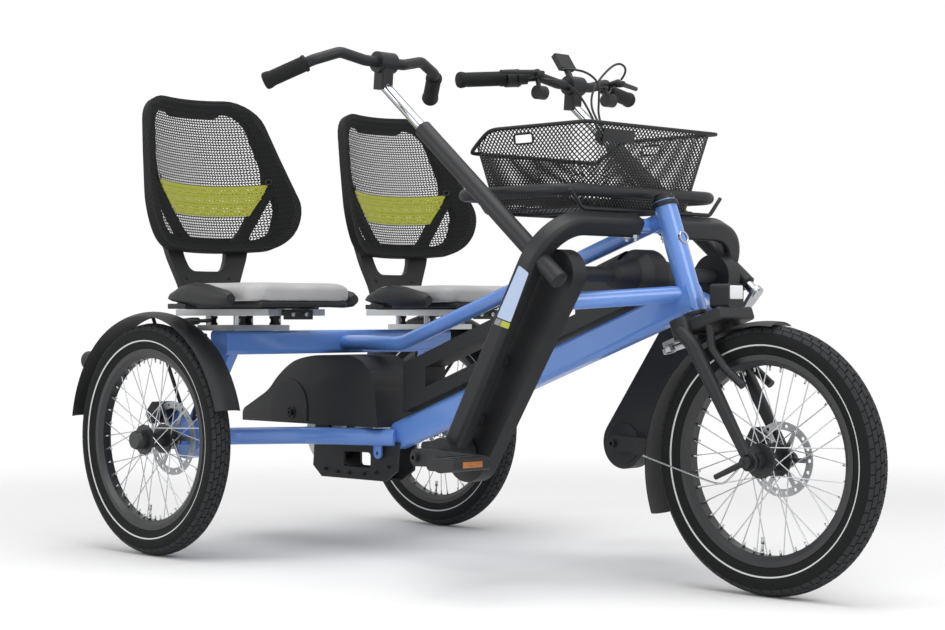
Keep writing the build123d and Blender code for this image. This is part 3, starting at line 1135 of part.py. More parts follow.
def basket_block(inset, floor_z):
    floor_x = (BASKET_FLOOR_X[0] + inset, BASKET_FLOOR_X[1] - inset)
    rim_x = (BASKET_RIM_X[0] + inset, BASKET_RIM_X[1] - inset)
    floor = Pos(sum(floor_x) / 2, 0, floor_z) * RectangleRounded(
        floor_x[1] - floor_x[0], 2 * (BASKET_FLOOR_HALF - inset), BASKET_CORNER - inset
    )
    rim = Pos(sum(rim_x) / 2, 0, BASKET_RIM_Z) * RectangleRounded(
        rim_x[1] - rim_x[0], 2 * (BASKET_RIM_HALF - inset), BASKET_CORNER - inset
    )
    return loft([floor, rim])


basket_floor_z = wire_z + RACK_WIRE_RADIUS + SEAT_GAP
basket = basket_block(0, basket_floor_z) - basket_block(BASKET_WALL, basket_floor_z + BASKET_WALL)
drop_rear_x = BASKET_RIM_X[0] - OVERCUT
drop_z = BASKET_RIM_Z - BASKET_DROP
rear_drop = profile_of(
    (drop_rear_x, drop_z),
    (BASKET_RIM_X[0] + BASKET_DROP_RUN[0], drop_z),
    (BASKET_RIM_X[0] + BASKET_DROP_RUN[1], BASKET_RIM_Z + 1),
    (drop_rear_x, BASKET_RIM_Z + 1),
)
basket = basket - slab(rear_drop, -BASKET_RIM_HALF - OVERCUT, BASKET_RIM_HALF + OVERCUT)
hand_hold = Pos(HAND_HOLD_X, 0, BASKET_RIM_Z - HAND_HOLD_DEPTH) * Box(
    HAND_HOLD_SIZE[0], 3 * BASKET_RIM_HALF, HAND_HOLD_SIZE[1]
)
parts["basket"] = basket - hand_hold

# Seat mounts: a plate on the beam, four posts and two rails on each side
plate_z = BEAM_TOP_Z + PLATE_SIZE[2] / 2
seat_plate = Pos(PLATE_X, -SEAT_Y, plate_z) * Box(*PLATE_SIZE)
posts = []
rails = []
for side in (-1, 1):
    rail_y = -SEAT_Y + side * RAIL_SPACING / 2
    rail_x = (RAIL_X[0] + RAIL_X[1]) / 2
    rail = Pos(rail_x, rail_y, RAIL_Z + RAIL_HEIGHT / 2) * Box(RAIL_X[1] - RAIL_X[0], RAIL_WIDTH, RAIL_HEIGHT)
    rails.append(rail)
    for x in (-POST_SPACING / 2, POST_SPACING / 2):
        foot = (PLATE_X + x, rail_y, BEAM_TOP_Z + PLATE_SIZE[2])
        posts.append(rod(foot, (foot[0], foot[1], RAIL_Z), POST_RADIUS))
parts["seat_mounts"] = pair(seat_plate.fuse(*posts, *rails))

# Seats that slide on the rails: a pan with a grooved wing along each side, and a cushion between the wings
pan_x = (PAN_X[0] + PAN_X[1]) / 2
pan_length = PAN_X[1] - PAN_X[0]
pan_top = PAN_Z + PAN_HEIGHT
pan_plane = Plane(origin=(pan_x, -SEAT_Y, PAN_Z))
pan_outline = pan_plane * RectangleRounded(pan_length, PAN_WIDTH, PAN_CORNER)
pan = extrude(pan_outline, PAN_HEIGHT)
wing_rear = PAN_X[0] + WING_ENDS[0]
wing_front = PAN_X[1] - WING_ENDS[1]
wing_top = [
    (wing_rear, pan_top + WING_RISE[0]),
    (PAN_X[0] + WING_TOP_X, pan_top + WING_RISE[1]),
    (wing_front, pan_top + WING_RISE[2]),
]
wing_outline = make_face(
    [
        ThreePointArc(*wing_top),
        Line(wing_top[2], (wing_front, PAN_Z)),
        Line((wing_front, PAN_Z), (wing_rear, PAN_Z)),
        Line((wing_rear, PAN_Z), wing_top[0]),
    ]
)
wing_side = -SEAT_Y - PAN_WIDTH / 2
wing = slab(wing_outline, wing_side, wing_side + WING_WIDTH) & extrude(pan_outline, PAN_HEIGHT + CUSHION_HEIGHT)
groove_start = (wing_rear + wing_front - (WING_GROOVES - 1) * WING_GROOVE_PITCH) / 2
for i in range(WING_GROOVES):
    groove_x = groove_start + i * WING_GROOVE_PITCH
    wing = wing - Pos(groove_x, wing_side, pan_top + WING_GROOVE[2] / 2) * Box(
        WING_GROOVE[0], 2 * WING_GROOVE[1], WING_GROOVE[2]
    )
other_wing = mirror(wing, Plane(origin=(0, -SEAT_Y, 0), z_dir=LEFT))
cushion_plane = Plane(origin=(pan_x + CUSHION_FORWARD, -SEAT_Y, pan_top + SEAT_GAP))
cushion_width = PAN_WIDTH - 2 * WING_WIDTH - 2 * SOFT_GAP
cushion_outline = cushion_plane * RectangleRounded(pan_length - CUSHION_SHORT, cushion_width, CUSHION_CORNER)
cushion = extrude(cushion_outline, CUSHION_HEIGHT)
cushion = fillet(cushion.edges().group_by(Axis.Z)[-1], CUSHION_EDGE)

# Back: a curved moulded frame, wide at the hips, with a thin net across its window and two slanting braces
back_face = profile_of(
    (-BACK_LOW_HALF, 0),
    (BACK_LOW_HALF, 0),
    (BACK_WIDE_HALF, BACK_WIDE_Z),
    (BACK_TOP_HALF, BACK_HEIGHT),
    (-BACK_TOP_HALF, BACK_HEIGHT),
    (-BACK_WIDE_HALF, BACK_WIDE_Z),
)
for height, corner in zip((0, BACK_WIDE_Z, BACK_HEIGHT), BACK_CORNERS):
    corners = [v for v in back_face.vertices() if abs(v.Y - height) < 0.01]
    back_face = fillet(corners, corner)
window_points = [*BACK_WINDOW, *[(-y, z) for y, z in reversed(BACK_WINDOW)]]
window_face = profile_of(*window_points)
window_face = fillet(window_face.vertices(), BACK_WINDOW_CORNER)
window_face = window_face - profile_of(*BACK_BRACE) - profile_of(*[(-y, z) for y, z in BACK_BRACE])
back_side = Plane(origin=(-BACK_THICKNESS, 0, 0), x_dir=LEFT, z_dir=(1, 0, 0))
back_place = Pos(BACK_FOOT_X, -SEAT_Y, PAN_Z + BACK_RISE) * Rot(0, -BACK_RECLINE, 0)


def back_round(radius):
    """A drum about the back's upright axis of curvature, taller than the back."""
    drum = Cylinder(radius, 2 * BACK_HEIGHT)
    return Pos(BACK_RADIUS, 0, BACK_HEIGHT / 2) * drum


back_outside = BACK_RADIUS + BACK_THICKNESS / 2
back_shell = back_round(back_outside) - back_round(back_outside - BACK_THICKNESS)
back = extrude(back_side * back_face, BACK_RADIUS) & back_shell
net_recess = extrude(back_side * window_face, BACK_RADIUS) & back_round(back_outside - BACK_WEB)
back = (back - net_recess).solids().sort_by(SortBy.VOLUME)[-1]
back = back_place * back

# Y-shaped spine that carries the back on the pan; the hand goes through between its arms
spine_side = [(SPINE_FOOT_HALF, 0), SPINE_WAIST, SPINE_ARM_OUT, SPINE_ARM_IN, SPINE_CROTCH]
spine_face = profile_of(*spine_side, *[(-y, z) for y, z in reversed(spine_side)])
lean = math.radians(BACK_RECLINE)
spine_x = BACK_FOOT_X - BACK_THICKNESS / 2 + SPINE_LET_IN + BACK_RISE * math.tan(lean)
spine_plane = Plane(
    origin=(spine_x, -SEAT_Y, PAN_Z), x_dir=(0, 1, 0), z_dir=(math.cos(lean), 0, math.sin(lean))
)
spine = extrude(spine_plane * spine_face, -SPINE_THICKNESS)
below_pan = Pos(spine_x, -SEAT_Y, PAN_Z - OVERCUT) * Box(PAN_WIDTH, PAN_WIDTH, 2 * OVERCUT)
back_room = back_place * (back_round(back_outside + SOFT_GAP) & Pos(0, 0, BACK_HEIGHT) * Box(
    4 * BACK_RADIUS, 4 * BACK_RADIUS, 2 * BACK_HEIGHT + 2 * MOVING_GAP
))
pan = pan.fuse(wing, other_wing, spine - below_pan - back_room)
for side, turn in (("right", lambda shape: shape), ("left", mirrored)):
    parts[f"seat_pan_{side}"] = turn(pan)
    parts[f"seat_cushion_{side}"] = turn(cushion)
    parts[f"seat_back_{side}"] = turn(back)

to_middle = Pos(-MIDDLE_X, -MIDDLE_Y, 0)
os.makedirs("parts", exist_ok=True)
for node, shape in parts.items():
    export_step(to_middle * shape, f"parts/{node}.step")
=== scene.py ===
import math

import bmesh
import bpy
from mathutils import Matrix, Vector


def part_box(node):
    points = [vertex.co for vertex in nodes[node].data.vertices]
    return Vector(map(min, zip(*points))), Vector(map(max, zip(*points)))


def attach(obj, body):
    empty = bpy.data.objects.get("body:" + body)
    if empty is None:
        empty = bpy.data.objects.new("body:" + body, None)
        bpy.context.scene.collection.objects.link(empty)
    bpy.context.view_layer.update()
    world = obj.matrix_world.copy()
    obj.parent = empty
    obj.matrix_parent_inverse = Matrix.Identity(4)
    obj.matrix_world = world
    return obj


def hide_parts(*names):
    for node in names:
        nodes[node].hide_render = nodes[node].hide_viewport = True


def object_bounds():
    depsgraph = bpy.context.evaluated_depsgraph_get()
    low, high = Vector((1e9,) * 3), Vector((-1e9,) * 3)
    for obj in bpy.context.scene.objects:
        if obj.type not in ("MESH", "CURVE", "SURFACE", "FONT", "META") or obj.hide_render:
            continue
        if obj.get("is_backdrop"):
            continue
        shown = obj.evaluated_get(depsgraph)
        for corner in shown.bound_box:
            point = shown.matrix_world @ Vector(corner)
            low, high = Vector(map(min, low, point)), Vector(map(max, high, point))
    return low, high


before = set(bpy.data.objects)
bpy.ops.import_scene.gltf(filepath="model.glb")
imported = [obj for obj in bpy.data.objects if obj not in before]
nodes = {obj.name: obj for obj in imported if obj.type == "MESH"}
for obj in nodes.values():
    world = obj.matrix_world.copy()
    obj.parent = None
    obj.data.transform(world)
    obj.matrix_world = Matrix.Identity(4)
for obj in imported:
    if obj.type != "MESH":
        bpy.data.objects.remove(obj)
cad_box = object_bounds()

# The studio: a pale round floor that fades into white, a white room and three soft lamps.
# The camera stands level at half a metre, ahead of the right-hand front corner, as the photograph was taken.
scene = bpy.context.scene
scene.view_settings.view_transform = "Standard"


def colour(code):
    """An sRGB hex colour as linear red, green, blue and alpha."""
    levels = [int(code[i:i + 2], 16) / 255 for i in (1, 3, 5)]
    return (*[c / 12.92 if c <= 0.04045 else ((c + 0.055) / 1.055) ** 2.4 for c in levels], 1.0)


def add(tree, kind, inputs=None, **settings):
    """Adds a shader node with its settings; a socket among the inputs is linked, any other value is set."""
    made = tree.nodes.new("ShaderNode" + kind)
    for name, value in settings.items():
        setattr(made, name, value)
    for name, value in (inputs or {}).items():
        if isinstance(value, bpy.types.NodeSocket):
            tree.links.new(value, made.inputs[name])
        else:
            made.inputs[name].default_value = value
    return made


def new_material(name):
    """An empty node material and its tree."""
    material = bpy.data.materials.new(name)
    material.use_nodes = True
    material.node_tree.nodes.clear()
    return material, material.node_tree


floor_radius, fade_start, fade_end = 4.0, 1.3, 3.2
floor_mesh = bpy.data.meshes.new("studio_floor")
shape = bmesh.new()
bmesh.ops.create_circle(shape, cap_ends=True, segments=64, radius=floor_radius)
shape.to_mesh(floor_mesh)
shape.free()
studio_floor = bpy.data.objects.new("studio_floor", floor_mesh)
scene.collection.objects.link(studio_floor)
studio_floor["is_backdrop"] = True
floor_paper, tree = new_material("floor_paper")
place = add(tree, "TexCoord")
distance = add(tree, "VectorMath", {0: place.outputs["Object"]}, operation="LENGTH")
fade = add(tree, "MapRange", {
    "Value": distance.outputs["Value"], "From Min": fade_start, "From Max": fade_end,
}, interpolation_type="SMOOTHSTEP")
paper = add(tree, "BsdfDiffuse", {"Color": colour("#F8F8F8")})
clear = add(tree, "BsdfTransparent")
blend = add(tree, "MixShader", {"Fac": fade.outputs["Result"], 1: paper.outputs[0], 2: clear.outputs[0]})
add(tree, "OutputMaterial", {"Surface": blend.outputs[0]})
floor_mesh.materials.append(floor_paper)

world = bpy.data.worlds.new("white_room")
scene.world = world
world.use_nodes = True
tree = world.node_tree
tree.nodes.clear()
path = add(tree, "LightPath")
camera_ray = path.outputs["Is Camera Ray"]
seen = add(tree, "Math", {0: camera_ray, 1: path.outputs["Is Transmission Ray"]}, operation="MAXIMUM")
seen = add(tree, "Math", {0: seen.outputs[0], 1: path.outputs["Is Glossy Ray"]}, operation="MAXIMUM")
room = add(tree, "Background", {"Color": colour("#FFFFFF"), "Strength": 0.55})
sheet_white = add(tree, "Background", {"Color": colour("#FFFFFF"), "Strength": 1.0})
mixed = add(tree, "MixShader", {"Fac": seen.outputs[0], 1: room.outputs[0], 2: sheet_white.outputs[0]})
add(tree, "OutputWorld", {"Surface": mixed.outputs[0]})

lit_middle = Vector((0.1, 0, 0.4))
for name, at, size, watts in (
    ("overhead_softbox", (0.2, -0.3, 3.4), 2.6, 62.0),
    ("right_softbox", (3.0, -0.4, 1.9), 1.4, 26.0),
    ("left_softbox", (-1.4, -3.2, 1.7), 1.5, 26.0),
):
    lamp = bpy.data.lights.new(name, "AREA")
    lamp.size = size
    lamp.energy = watts
    softbox = bpy.data.objects.new(name, lamp)
    softbox.location = at
    softbox.rotation_euler = (lit_middle - Vector(at)).to_track_quat("-Z", "Y").to_euler()
    scene.collection.objects.link(softbox)

camera_place = (2.8368, -2.9690, 0.5176)
camera_turn = (math.radians(90), 0, math.radians(44.952))
lens = bpy.data.cameras.new("camera")
lens.sensor_width = 36.0
lens.lens = 74.9
camera = bpy.data.objects.new("camera", lens)
camera.location = camera_place
camera.rotation_euler = camera_turn
scene.collection.objects.link(camera)
scene.camera = camera

# Welded frame: steel tubes in gloss blue powder coat, which flows out to a faint orange-peel skin.
# Head tube, down tube, top tube, seat beam, lower tubes, outriggers and wheel carriers share the coat.


def dress(material, *names):
    """Gives CAD nodes a material."""
    for name in names:
        mesh = nodes[name].data
        if not mesh.materials:
            mesh.materials.append(None)
        for place in nodes[name].material_slots:
            place.material = material


def per_metre(width):
    """How many grains of a width in millimetres lie side by side in a metre."""
    return 1000 / width


blue_coat, tree = new_material("gloss_blue_powder_coat")
place = add(tree, "TexCoord")
peel = add(tree, "TexNoise", {"Vector": place.outputs["Object"], "Scale": per_metre(3.85), "Detail": 1.0})
bump = add(tree, "Bump", {"Height": peel.outputs["Fac"], "Strength": 0.06, "Distance": 0.0006})
drift = add(tree, "TexNoise", {"Vector": place.outputs["Object"], "Scale": per_metre(111), "Detail": 2.0})
tint = add(tree, "ValToRGB", {"Fac": drift.outputs["Fac"]})
tint.color_ramp.elements[0].position = 0.35
tint.color_ramp.elements[0].color = colour("#5C8AD8")
tint.color_ramp.elements[1].position = 0.65
tint.color_ramp.elements[1].color = colour("#6592DE")
coat = add(tree, "BsdfPrincipled", {
    "Base Color": tint.outputs["Color"], "Roughness": 0.42, "IOR": 1.5, "Coat Weight": 0.8,
    "Coat Roughness": 0.09, "Normal": bump.outputs["Normal"],
})
add(tree, "OutputMaterial", {"Surface": coat.outputs[0]})
dress(blue_coat, "head_tube", "down_tube", "top_tube", "seat_beam", "lower_tubes", "outriggers",
      "wheel_carriers")

# Machined and turned fittings: bare aluminium and steel, whose cutter lines draw the highlights out.
# Seat plates and rails, steering arm and lever, tie rod, shafts and discs, with 0.2 mm lines drawn at 1.1 mm.
# The handlebars' stems are polished chrome, which mirrors the room.
bare_alloy, tree = new_material("machined_aluminium")
place = add(tree, "TexCoord")
line_length, line_width = 25, 1.11
stretch = add(tree, "Mapping", {
    "Vector": place.outputs["Object"],
    "Scale": (per_metre(line_length), per_metre(line_width), per_metre(line_width)),
})
lines = add(tree, "TexNoise", {"Vector": stretch.outputs["Vector"], "Scale": 1.0, "Detail": 2.0})
rough = add(tree, "MapRange", {"Value": lines.outputs["Fac"], "To Min": 0.28, "To Max": 0.46})
bump = add(tree, "Bump", {"Height": lines.outputs["Fac"], "Strength": 0.08, "Distance": 0.0002})
metal = add(tree, "BsdfPrincipled", {
    "Base Color": colour("#B4B6B8"), "Metallic": 1.0, "Roughness": rough.outputs["Result"],
    "Normal": bump.outputs["Normal"],
})
add(tree, "OutputMaterial", {"Surface": metal.outputs[0]})
dress(bare_alloy, "seat_mounts", "steering_arm", "steering_lever", "tie_rod", "gear_hub")

disc_steel, tree = new_material("ground_stainless_steel")
place = add(tree, "TexCoord")
lines = add(tree, "TexNoise", {"Vector": place.outputs["Object"], "Scale": per_metre(1.67), "Detail": 1.0})
rough = add(tree, "MapRange", {"Value": lines.outputs["Fac"], "To Min": 0.3, "To Max": 0.5})
metal = add(tree, "BsdfPrincipled", {
    "Base Color": colour("#A9ABAD"), "Metallic": 1.0, "Roughness": rough.outputs["Result"],
})
add(tree, "OutputMaterial", {"Surface": metal.outputs[0]})
dress(disc_steel, "front_rotor", "rear_rotor_right", "rear_rotor_left", "drive_shaft")

chrome, tree = new_material("polished_chrome")
place = add(tree, "TexCoord")
cloud = add(tree, "TexNoise", {"Vector": place.outputs["Object"], "Scale": per_metre(25), "Detail": 2.0})
rough = add(tree, "MapRange", {"Value": cloud.outputs["Fac"], "To Min": 0.07, "To Max": 0.16})
metal = add(tree, "BsdfPrincipled", {
    "Base Color": colour("#B8BABD"), "Metallic": 1.0, "Roughness": rough.outputs["Result"],
})
add(tree, "OutputMaterial", {"Surface": metal.outputs[0]})
dress(chrome, "passenger_quill", "driver_column")

# Black steel parts: satin powder coat with a fine grit that breaks up its highlights.
# Fork, booms, sleeves, cradle, bars, rack hoop and cranks; grit of 0.5 mm is drawn at 2 mm so that it shows.
satin_black, tree = new_material("satin_black_powder_coat")
place = add(tree, "TexCoord")
grit = add(tree, "TexNoise", {"Vector": place.outputs["Object"], "Scale": per_metre(2), "Detail": 2.0})
bump = add(tree, "Bump", {"Height": grit.outputs["Fac"], "Strength": 0.12, "Distance": 0.0004})
cloud = add(tree, "TexNoise", {"Vector": place.outputs["Object"], "Scale": per_metre(71), "Detail": 2.0})
rough = add(tree, "MapRange", {"Value": cloud.outputs["Fac"], "To Min": 0.42, "To Max": 0.52})
coat = add(tree, "BsdfPrincipled", {
    "Base Color": colour("#222325"), "Roughness": rough.outputs["Result"], "IOR": 1.5,
    "Specular IOR Level": 0.32, "Normal": bump.outputs["Normal"],
})
add(tree, "OutputMaterial", {"Surface": coat.outputs[0]})
dress(satin_black, "fork", "pedal_booms", "column_sleeves", "drive_cradle", "passenger_bar", "driver_bar",
      "basket_rack", "cranks_right", "cranks_left", "rear_calipers", "front_caliper", "front_axle")

# Moulded covers: black ABS with a spark-eroded grain, drawn at 1.5 mm so that it shows, and a soft sheen.
# Motor shell, chain guard, chain cases, fenders, ring lock, lamp bodies, pedals and the driver's controls.
moulded_black, tree = new_material("grained_black_abs")
place = add(tree, "TexCoord")
grain = add(tree, "TexVoronoi", {
    "Vector": place.outputs["Object"], "Scale": per_metre(1.54),
}, feature="SMOOTH_F1")
bump = add(tree, "Bump", {"Height": grain.outputs["Distance"], "Strength": 0.16, "Distance": 0.0004})
cloud = add(tree, "TexNoise", {"Vector": place.outputs["Object"], "Scale": per_metre(100), "Detail": 2.0})
rough = add(tree, "MapRange", {"Value": cloud.outputs["Fac"], "To Min": 0.46, "To Max": 0.58})
plastic = add(tree, "BsdfPrincipled", {
    "Base Color": colour("#1E1F21"), "Roughness": rough.outputs["Result"], "IOR": 1.53,
    "Specular IOR Level": 0.36, "Normal": bump.outputs["Normal"],
})
add(tree, "OutputMaterial", {"Surface": plastic.outputs[0]})
dress(moulded_black, "drive_motor", "chain_guard", "chain_cases", "rear_fenders", "front_fender", "ring_lock",
      "headlamp", "tail_lamps", "driver_controls", "pedal_right_inner", "pedal_right_outer",
      "pedal_left_inner", "pedal_left_outer")

# Wheels: black box-section rims on laced stainless spokes and black hubs.
# Rim, spokes and hub are one solid, so the finish is chosen by the distance from the axle.
# Shapes are drawn in millimetres from the ground below the middle of the rear axle, then moved to the frame.
row_shift = (-0.645, -0.024, 0.0)
to_row = Matrix.Translation(row_shift) @ Matrix.Scale(0.001, 4)
hubs = {"front": (1312, 0, 250), "rear_right": (0, -430, 250), "rear_left": (0, 430, 250)}
wheel_bodies = {"front": "front_wheel", "rear_right": "rear_wheel_right", "rear_left": "rear_wheel_left"}
hub_edge, rim_edge = 0.034, 0.1745


def piece(mesh_shape, name, body, material, smooth=True):
    """Turns a bmesh drawn in millimetres from the rear axle into a piece that rides on a body."""
    mesh_shape.transform(to_row)
    for face in mesh_shape.faces:
        face.smooth = smooth
    mesh = bpy.data.meshes.new(name)
    mesh_shape.to_mesh(mesh)
    mesh_shape.free()
    mesh.materials.append(material)
    made = bpy.data.objects.new(name, mesh)
    scene.collection.objects.link(made)
    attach(made, body)
    return made


def reach_from_axle(tree, place, hub):
    """The socket that gives how far a point lies from a wheel's axle."""
    axle = to_row @ Vector(hub)
    centred = add(tree, "VectorMath", {0: place.outputs["Object"], 1: axle}, operation="SUBTRACT")
    flat = add(tree, "VectorMath", {0: centred.outputs["Vector"], 1: (1.0, 0.0, 1.0)}, operation="MULTIPLY")
    return add(tree, "VectorMath", {0: flat.outputs["Vector"]}, operation="LENGTH").outputs["Value"]


for wheel, hub in hubs.items():
    wheel_metal, tree = new_material(f"spoked_wheel_{wheel}")
    place = add(tree, "TexCoord")
    reach = reach_from_axle(tree, place, hub)
    past_hub = add(tree, "Math", {0: reach, 1: hub_edge}, operation="GREATER_THAN")
    before_rim = add(tree, "Math", {0: reach, 1: rim_edge}, operation="LESS_THAN")
    wire = add(tree, "Math", {0: past_hub.outputs[0], 1: before_rim.outputs[0]}, operation="MULTIPLY")
    finish = add(tree, "ValToRGB", {"Fac": wire.outputs[0]})
    finish.color_ramp.elements[0].color = colour("#27282A")
    finish.color_ramp.elements[1].color = colour("#C4C6C8")
    grit = add(tree, "TexNoise", {"Vector": place.outputs["Object"], "Scale": per_metre(3.33), "Detail": 1.0})
    rough = add(tree, "MapRange", {"Value": grit.outputs["Fac"], "To Min": 0.3, "To Max": 0.44})
    metal = add(tree, "BsdfPrincipled", {
        "Base Color": finish.outputs["Color"], "Metallic": wire.outputs[0],
        "Roughness": rough.outputs["Result"],
    })
    add(tree, "OutputMaterial", {"Surface": metal.outputs[0]})
    dress(wheel_metal, wheel_bodies[wheel])

# Spoke nipples and valves: nickel-plated brass, screwed through the rim from outside.
# One nipple for each spoke, set 4 mm to alternate sides of the rim's middle, and a valve stem with its cap
# and locking ring.
nickel, tree = new_material("nickel_plated_brass")
place = add(tree, "TexCoord")
cloud = add(tree, "TexNoise", {"Vector": place.outputs["Object"], "Scale": per_metre(5), "Detail": 1.0})
rough = add(tree, "MapRange", {"Value": cloud.outputs["Fac"], "To Min": 0.2, "To Max": 0.34})
metal = add(tree, "BsdfPrincipled", {
    "Base Color": colour("#BEBFC0"), "Metallic": 1.0, "Roughness": rough.outputs["Result"],
})
add(tree, "OutputMaterial", {"Surface": metal.outputs[0]})


def everything(shape):
    """All the vertices, edges and faces of a bmesh."""
    return shape.verts[:] + shape.edges[:] + shape.faces[:]


def join(shape, one):
    """Adds one bmesh to another and frees it."""
    spare = bpy.data.meshes.new("spare")
    one.to_mesh(spare)
    one.free()
    shape.from_mesh(spare)
    bpy.data.meshes.remove(spare)


spokes_each_side, spoke_step = 18, 20
nipple_reach, nipple_length = 170.5, 11
valve_angle = math.radians(185)
# Valve stem, cap and locking ring: radius, and the distances of both ends from the axle
valve_parts = ((2.6, 146, 176), (3.6, 143, 155), (4.2, 169, 174))
for wheel, hub in hubs.items():
    shape = bmesh.new()
    for turn, side in ((0, 4.0), (spoke_step / 2, -4.0)):
        one = bmesh.new()
        bmesh.ops.create_cone(one, cap_ends=True, segments=8, radius1=2.4, radius2=1.7, depth=nipple_length)
        upright = Matrix.Rotation(math.radians(turn), 4, "Y") @ Matrix.Translation((0, side, -nipple_reach))
        one.transform(Matrix.Translation(hub) @ upright)
        bmesh.ops.spin(one, geom=everything(one), cent=hub, axis=(0, 1, 0), use_duplicate=True,
                       angle=math.radians(360 - spoke_step), steps=spokes_each_side - 1)
        join(shape, one)
    for radius, low, high in valve_parts:
        stem = bmesh.ops.create_cone(shape, cap_ends=True, segments=16, radius1=radius, radius2=radius,
                                     depth=high - low)
        spot = Matrix.Rotation(valve_angle, 4, "Y") @ Matrix.Translation((0, 0, (low + high) / 2))
        bmesh.ops.transform(shape, matrix=Matrix.Translation(hub) @ spot, verts=stem["verts"])
    piece(shape, f"nipples_and_valve_{wheel}", wheel_bodies[wheel], nickel)

# Tyres: black rubber on a moulded casing, with a reflective ring on each sidewall.
# The tread is rows of skewed blocks cut by narrow grooves, one row round each shoulder.
# Road dust gives the rubber its dull skin, drawn at 2.4 mm so that it shows.
ring_radius, ring_half_width = 0.2125, 0.0014
# Half of the casing's section: distance from the middle and radius, from the bead to the crown
casing = [(16, 195.3), (18.5, 199), (19, 203), (22, 208), (24.6, 214), (25.8, 222), (25.4, 229), (23.4, 236),
          (20.5, 240.5), (17, 242.6), (11, 245.4), (5, 246.9), (0, 247.2)]
blocks_round, half_groove, block_depth, block_draft = 66, 0.36, 3.4, 0.6
pitch = 360 / blocks_round
# Tread rows: near edge and far edge across the tyre with their radii, skew in degrees, stagger in pitches
tread_rows = ((0.7, 250.0, 8.6, 248.4, 0.9, 0.0), (10.0, 247.9, 17.6, 244.4, 0.9, 0.5),
              (18.8, 243.0, 23.6, 236.6, 0.4, 0.0))
tyre_nodes = {"front": "front_tyre", "rear_right": "rear_tyre_right", "rear_left": "rear_tyre_left"}
for wheel, hub in hubs.items():
    tyre_rubber, tree = new_material(f"tyre_rubber_{wheel}")
    place = add(tree, "TexCoord")
    reach = reach_from_axle(tree, place, hub)
    off_ring = add(tree, "Math", {0: reach, 1: ring_radius}, operation="SUBTRACT")
    off_ring = add(tree, "Math", {0: off_ring.outputs[0]}, operation="ABSOLUTE")
    ring = add(tree, "Math", {0: off_ring.outputs[0], 1: ring_half_width}, operation="LESS_THAN")
    tone = add(tree, "ValToRGB", {"Fac": ring.outputs[0]})
    tone.color_ramp.elements[0].color = colour("#141516")
    tone.color_ramp.elements[1].color = colour("#D4D6D6")
    dust = add(tree, "TexNoise", {"Vector": place.outputs["Object"], "Scale": per_metre(2.38), "Detail": 3.0})
    bump = add(tree, "Bump", {"Height": dust.outputs["Fac"], "Strength": 0.2, "Distance": 0.0004})
    rough = add(tree, "MapRange", {"Value": dust.outputs["Fac"], "To Min": 0.62, "To Max": 0.82})
    rubber = add(tree, "BsdfPrincipled", {
        "Base Color": tone.outputs["Color"], "Roughness": rough.outputs["Result"], "IOR": 1.5,
        "Specular IOR Level": 0.2, "Normal": bump.outputs["Normal"],
    })
    add(tree, "OutputMaterial", {"Surface": rubber.outputs[0]})

    tread_rubber, tree = new_material(f"tread_rubber_{wheel}")
    place = add(tree, "TexCoord")
    wear = add(tree, "TexNoise", {"Vector": place.outputs["Object"], "Scale": per_metre(6.25), "Detail": 3.0})
    tint = add(tree, "ValToRGB", {"Fac": wear.outputs["Fac"]})
    tint.color_ramp.elements[0].color = colour("#242526")
    tint.color_ramp.elements[1].color = colour("#343638")
    bump = add(tree, "Bump", {"Height": wear.outputs["Fac"], "Strength": 0.2, "Distance": 0.0004})
    rubber = add(tree, "BsdfPrincipled", {
        "Base Color": tint.outputs["Color"], "Roughness": 0.7, "Specular IOR Level": 0.25,
        "Normal": bump.outputs["Normal"],
    })
    add(tree, "OutputMaterial", {"Surface": rubber.outputs[0]})

    shape = bmesh.new()
    outline = [(-y, r) for y, r in casing[:-1]] + [(y, r) for y, r in reversed(casing)]
    points = [shape.verts.new(Vector(hub) + Vector((0, y, r))) for y, r in outline]
    edges = [shape.edges.new(ends) for ends in zip(points, points[1:] + points[:1])]
    bmesh.ops.spin(shape, geom=points + edges, cent=hub, axis=(0, 1, 0), angle=math.tau, steps=120,
                   use_merge=True)
    bmesh.ops.remove_doubles(shape, verts=shape.verts, dist=0.01)
    bmesh.ops.recalc_face_normals(shape, faces=shape.faces)
    for low, low_r, high, high_r, skew, stagger in tread_rows:
        for side in (-1, 1):
            block = bmesh.new()
            start = stagger * pitch + (0.25 * pitch if side > 0 else 0.0)
            corners = []
            for y, r, lean in ((low, low_r, 0), (high, high_r, skew)):
                for turn in (start + lean + half_groove, start + lean + pitch - half_groove):
                    at = Matrix.Rotation(math.radians(turn), 3, "Y") @ Vector((0, side * y, r))
                    corners.append(block.verts.new(Vector(hub) + at))
            top = block.faces.new([corners[0], corners[1], corners[3], corners[2]])
            sunk = bmesh.ops.extrude_face_region(block, geom=[top], use_keep_orig=True)
            for vert in [v for v in sunk["geom"] if isinstance(v, bmesh.types.BMVert)]:
                inward = Vector(hub) - vert.co
                inward.y = 0
                vert.co += inward.normalized() * block_depth - Vector((0, side * block_draft, 0))
            bmesh.ops.recalc_face_normals(block, faces=block.faces)
            for face in block.faces:
                face.material_index = 1
            bmesh.ops.spin(block, geom=everything(block), cent=hub, axis=(0, 1, 0), use_duplicate=True,
                           angle=math.radians(360 - pitch), steps=blocks_round - 1)
            join(shape, block)
    tyre = piece(shape, f"tyre_{wheel}", wheel_bodies[wheel], tyre_rubber)
    tyre.data.materials.append(tread_rubber)
    tyre.data.set_sharp_from_angle(angle=math.radians(40))
    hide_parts(tyre_nodes[wheel])

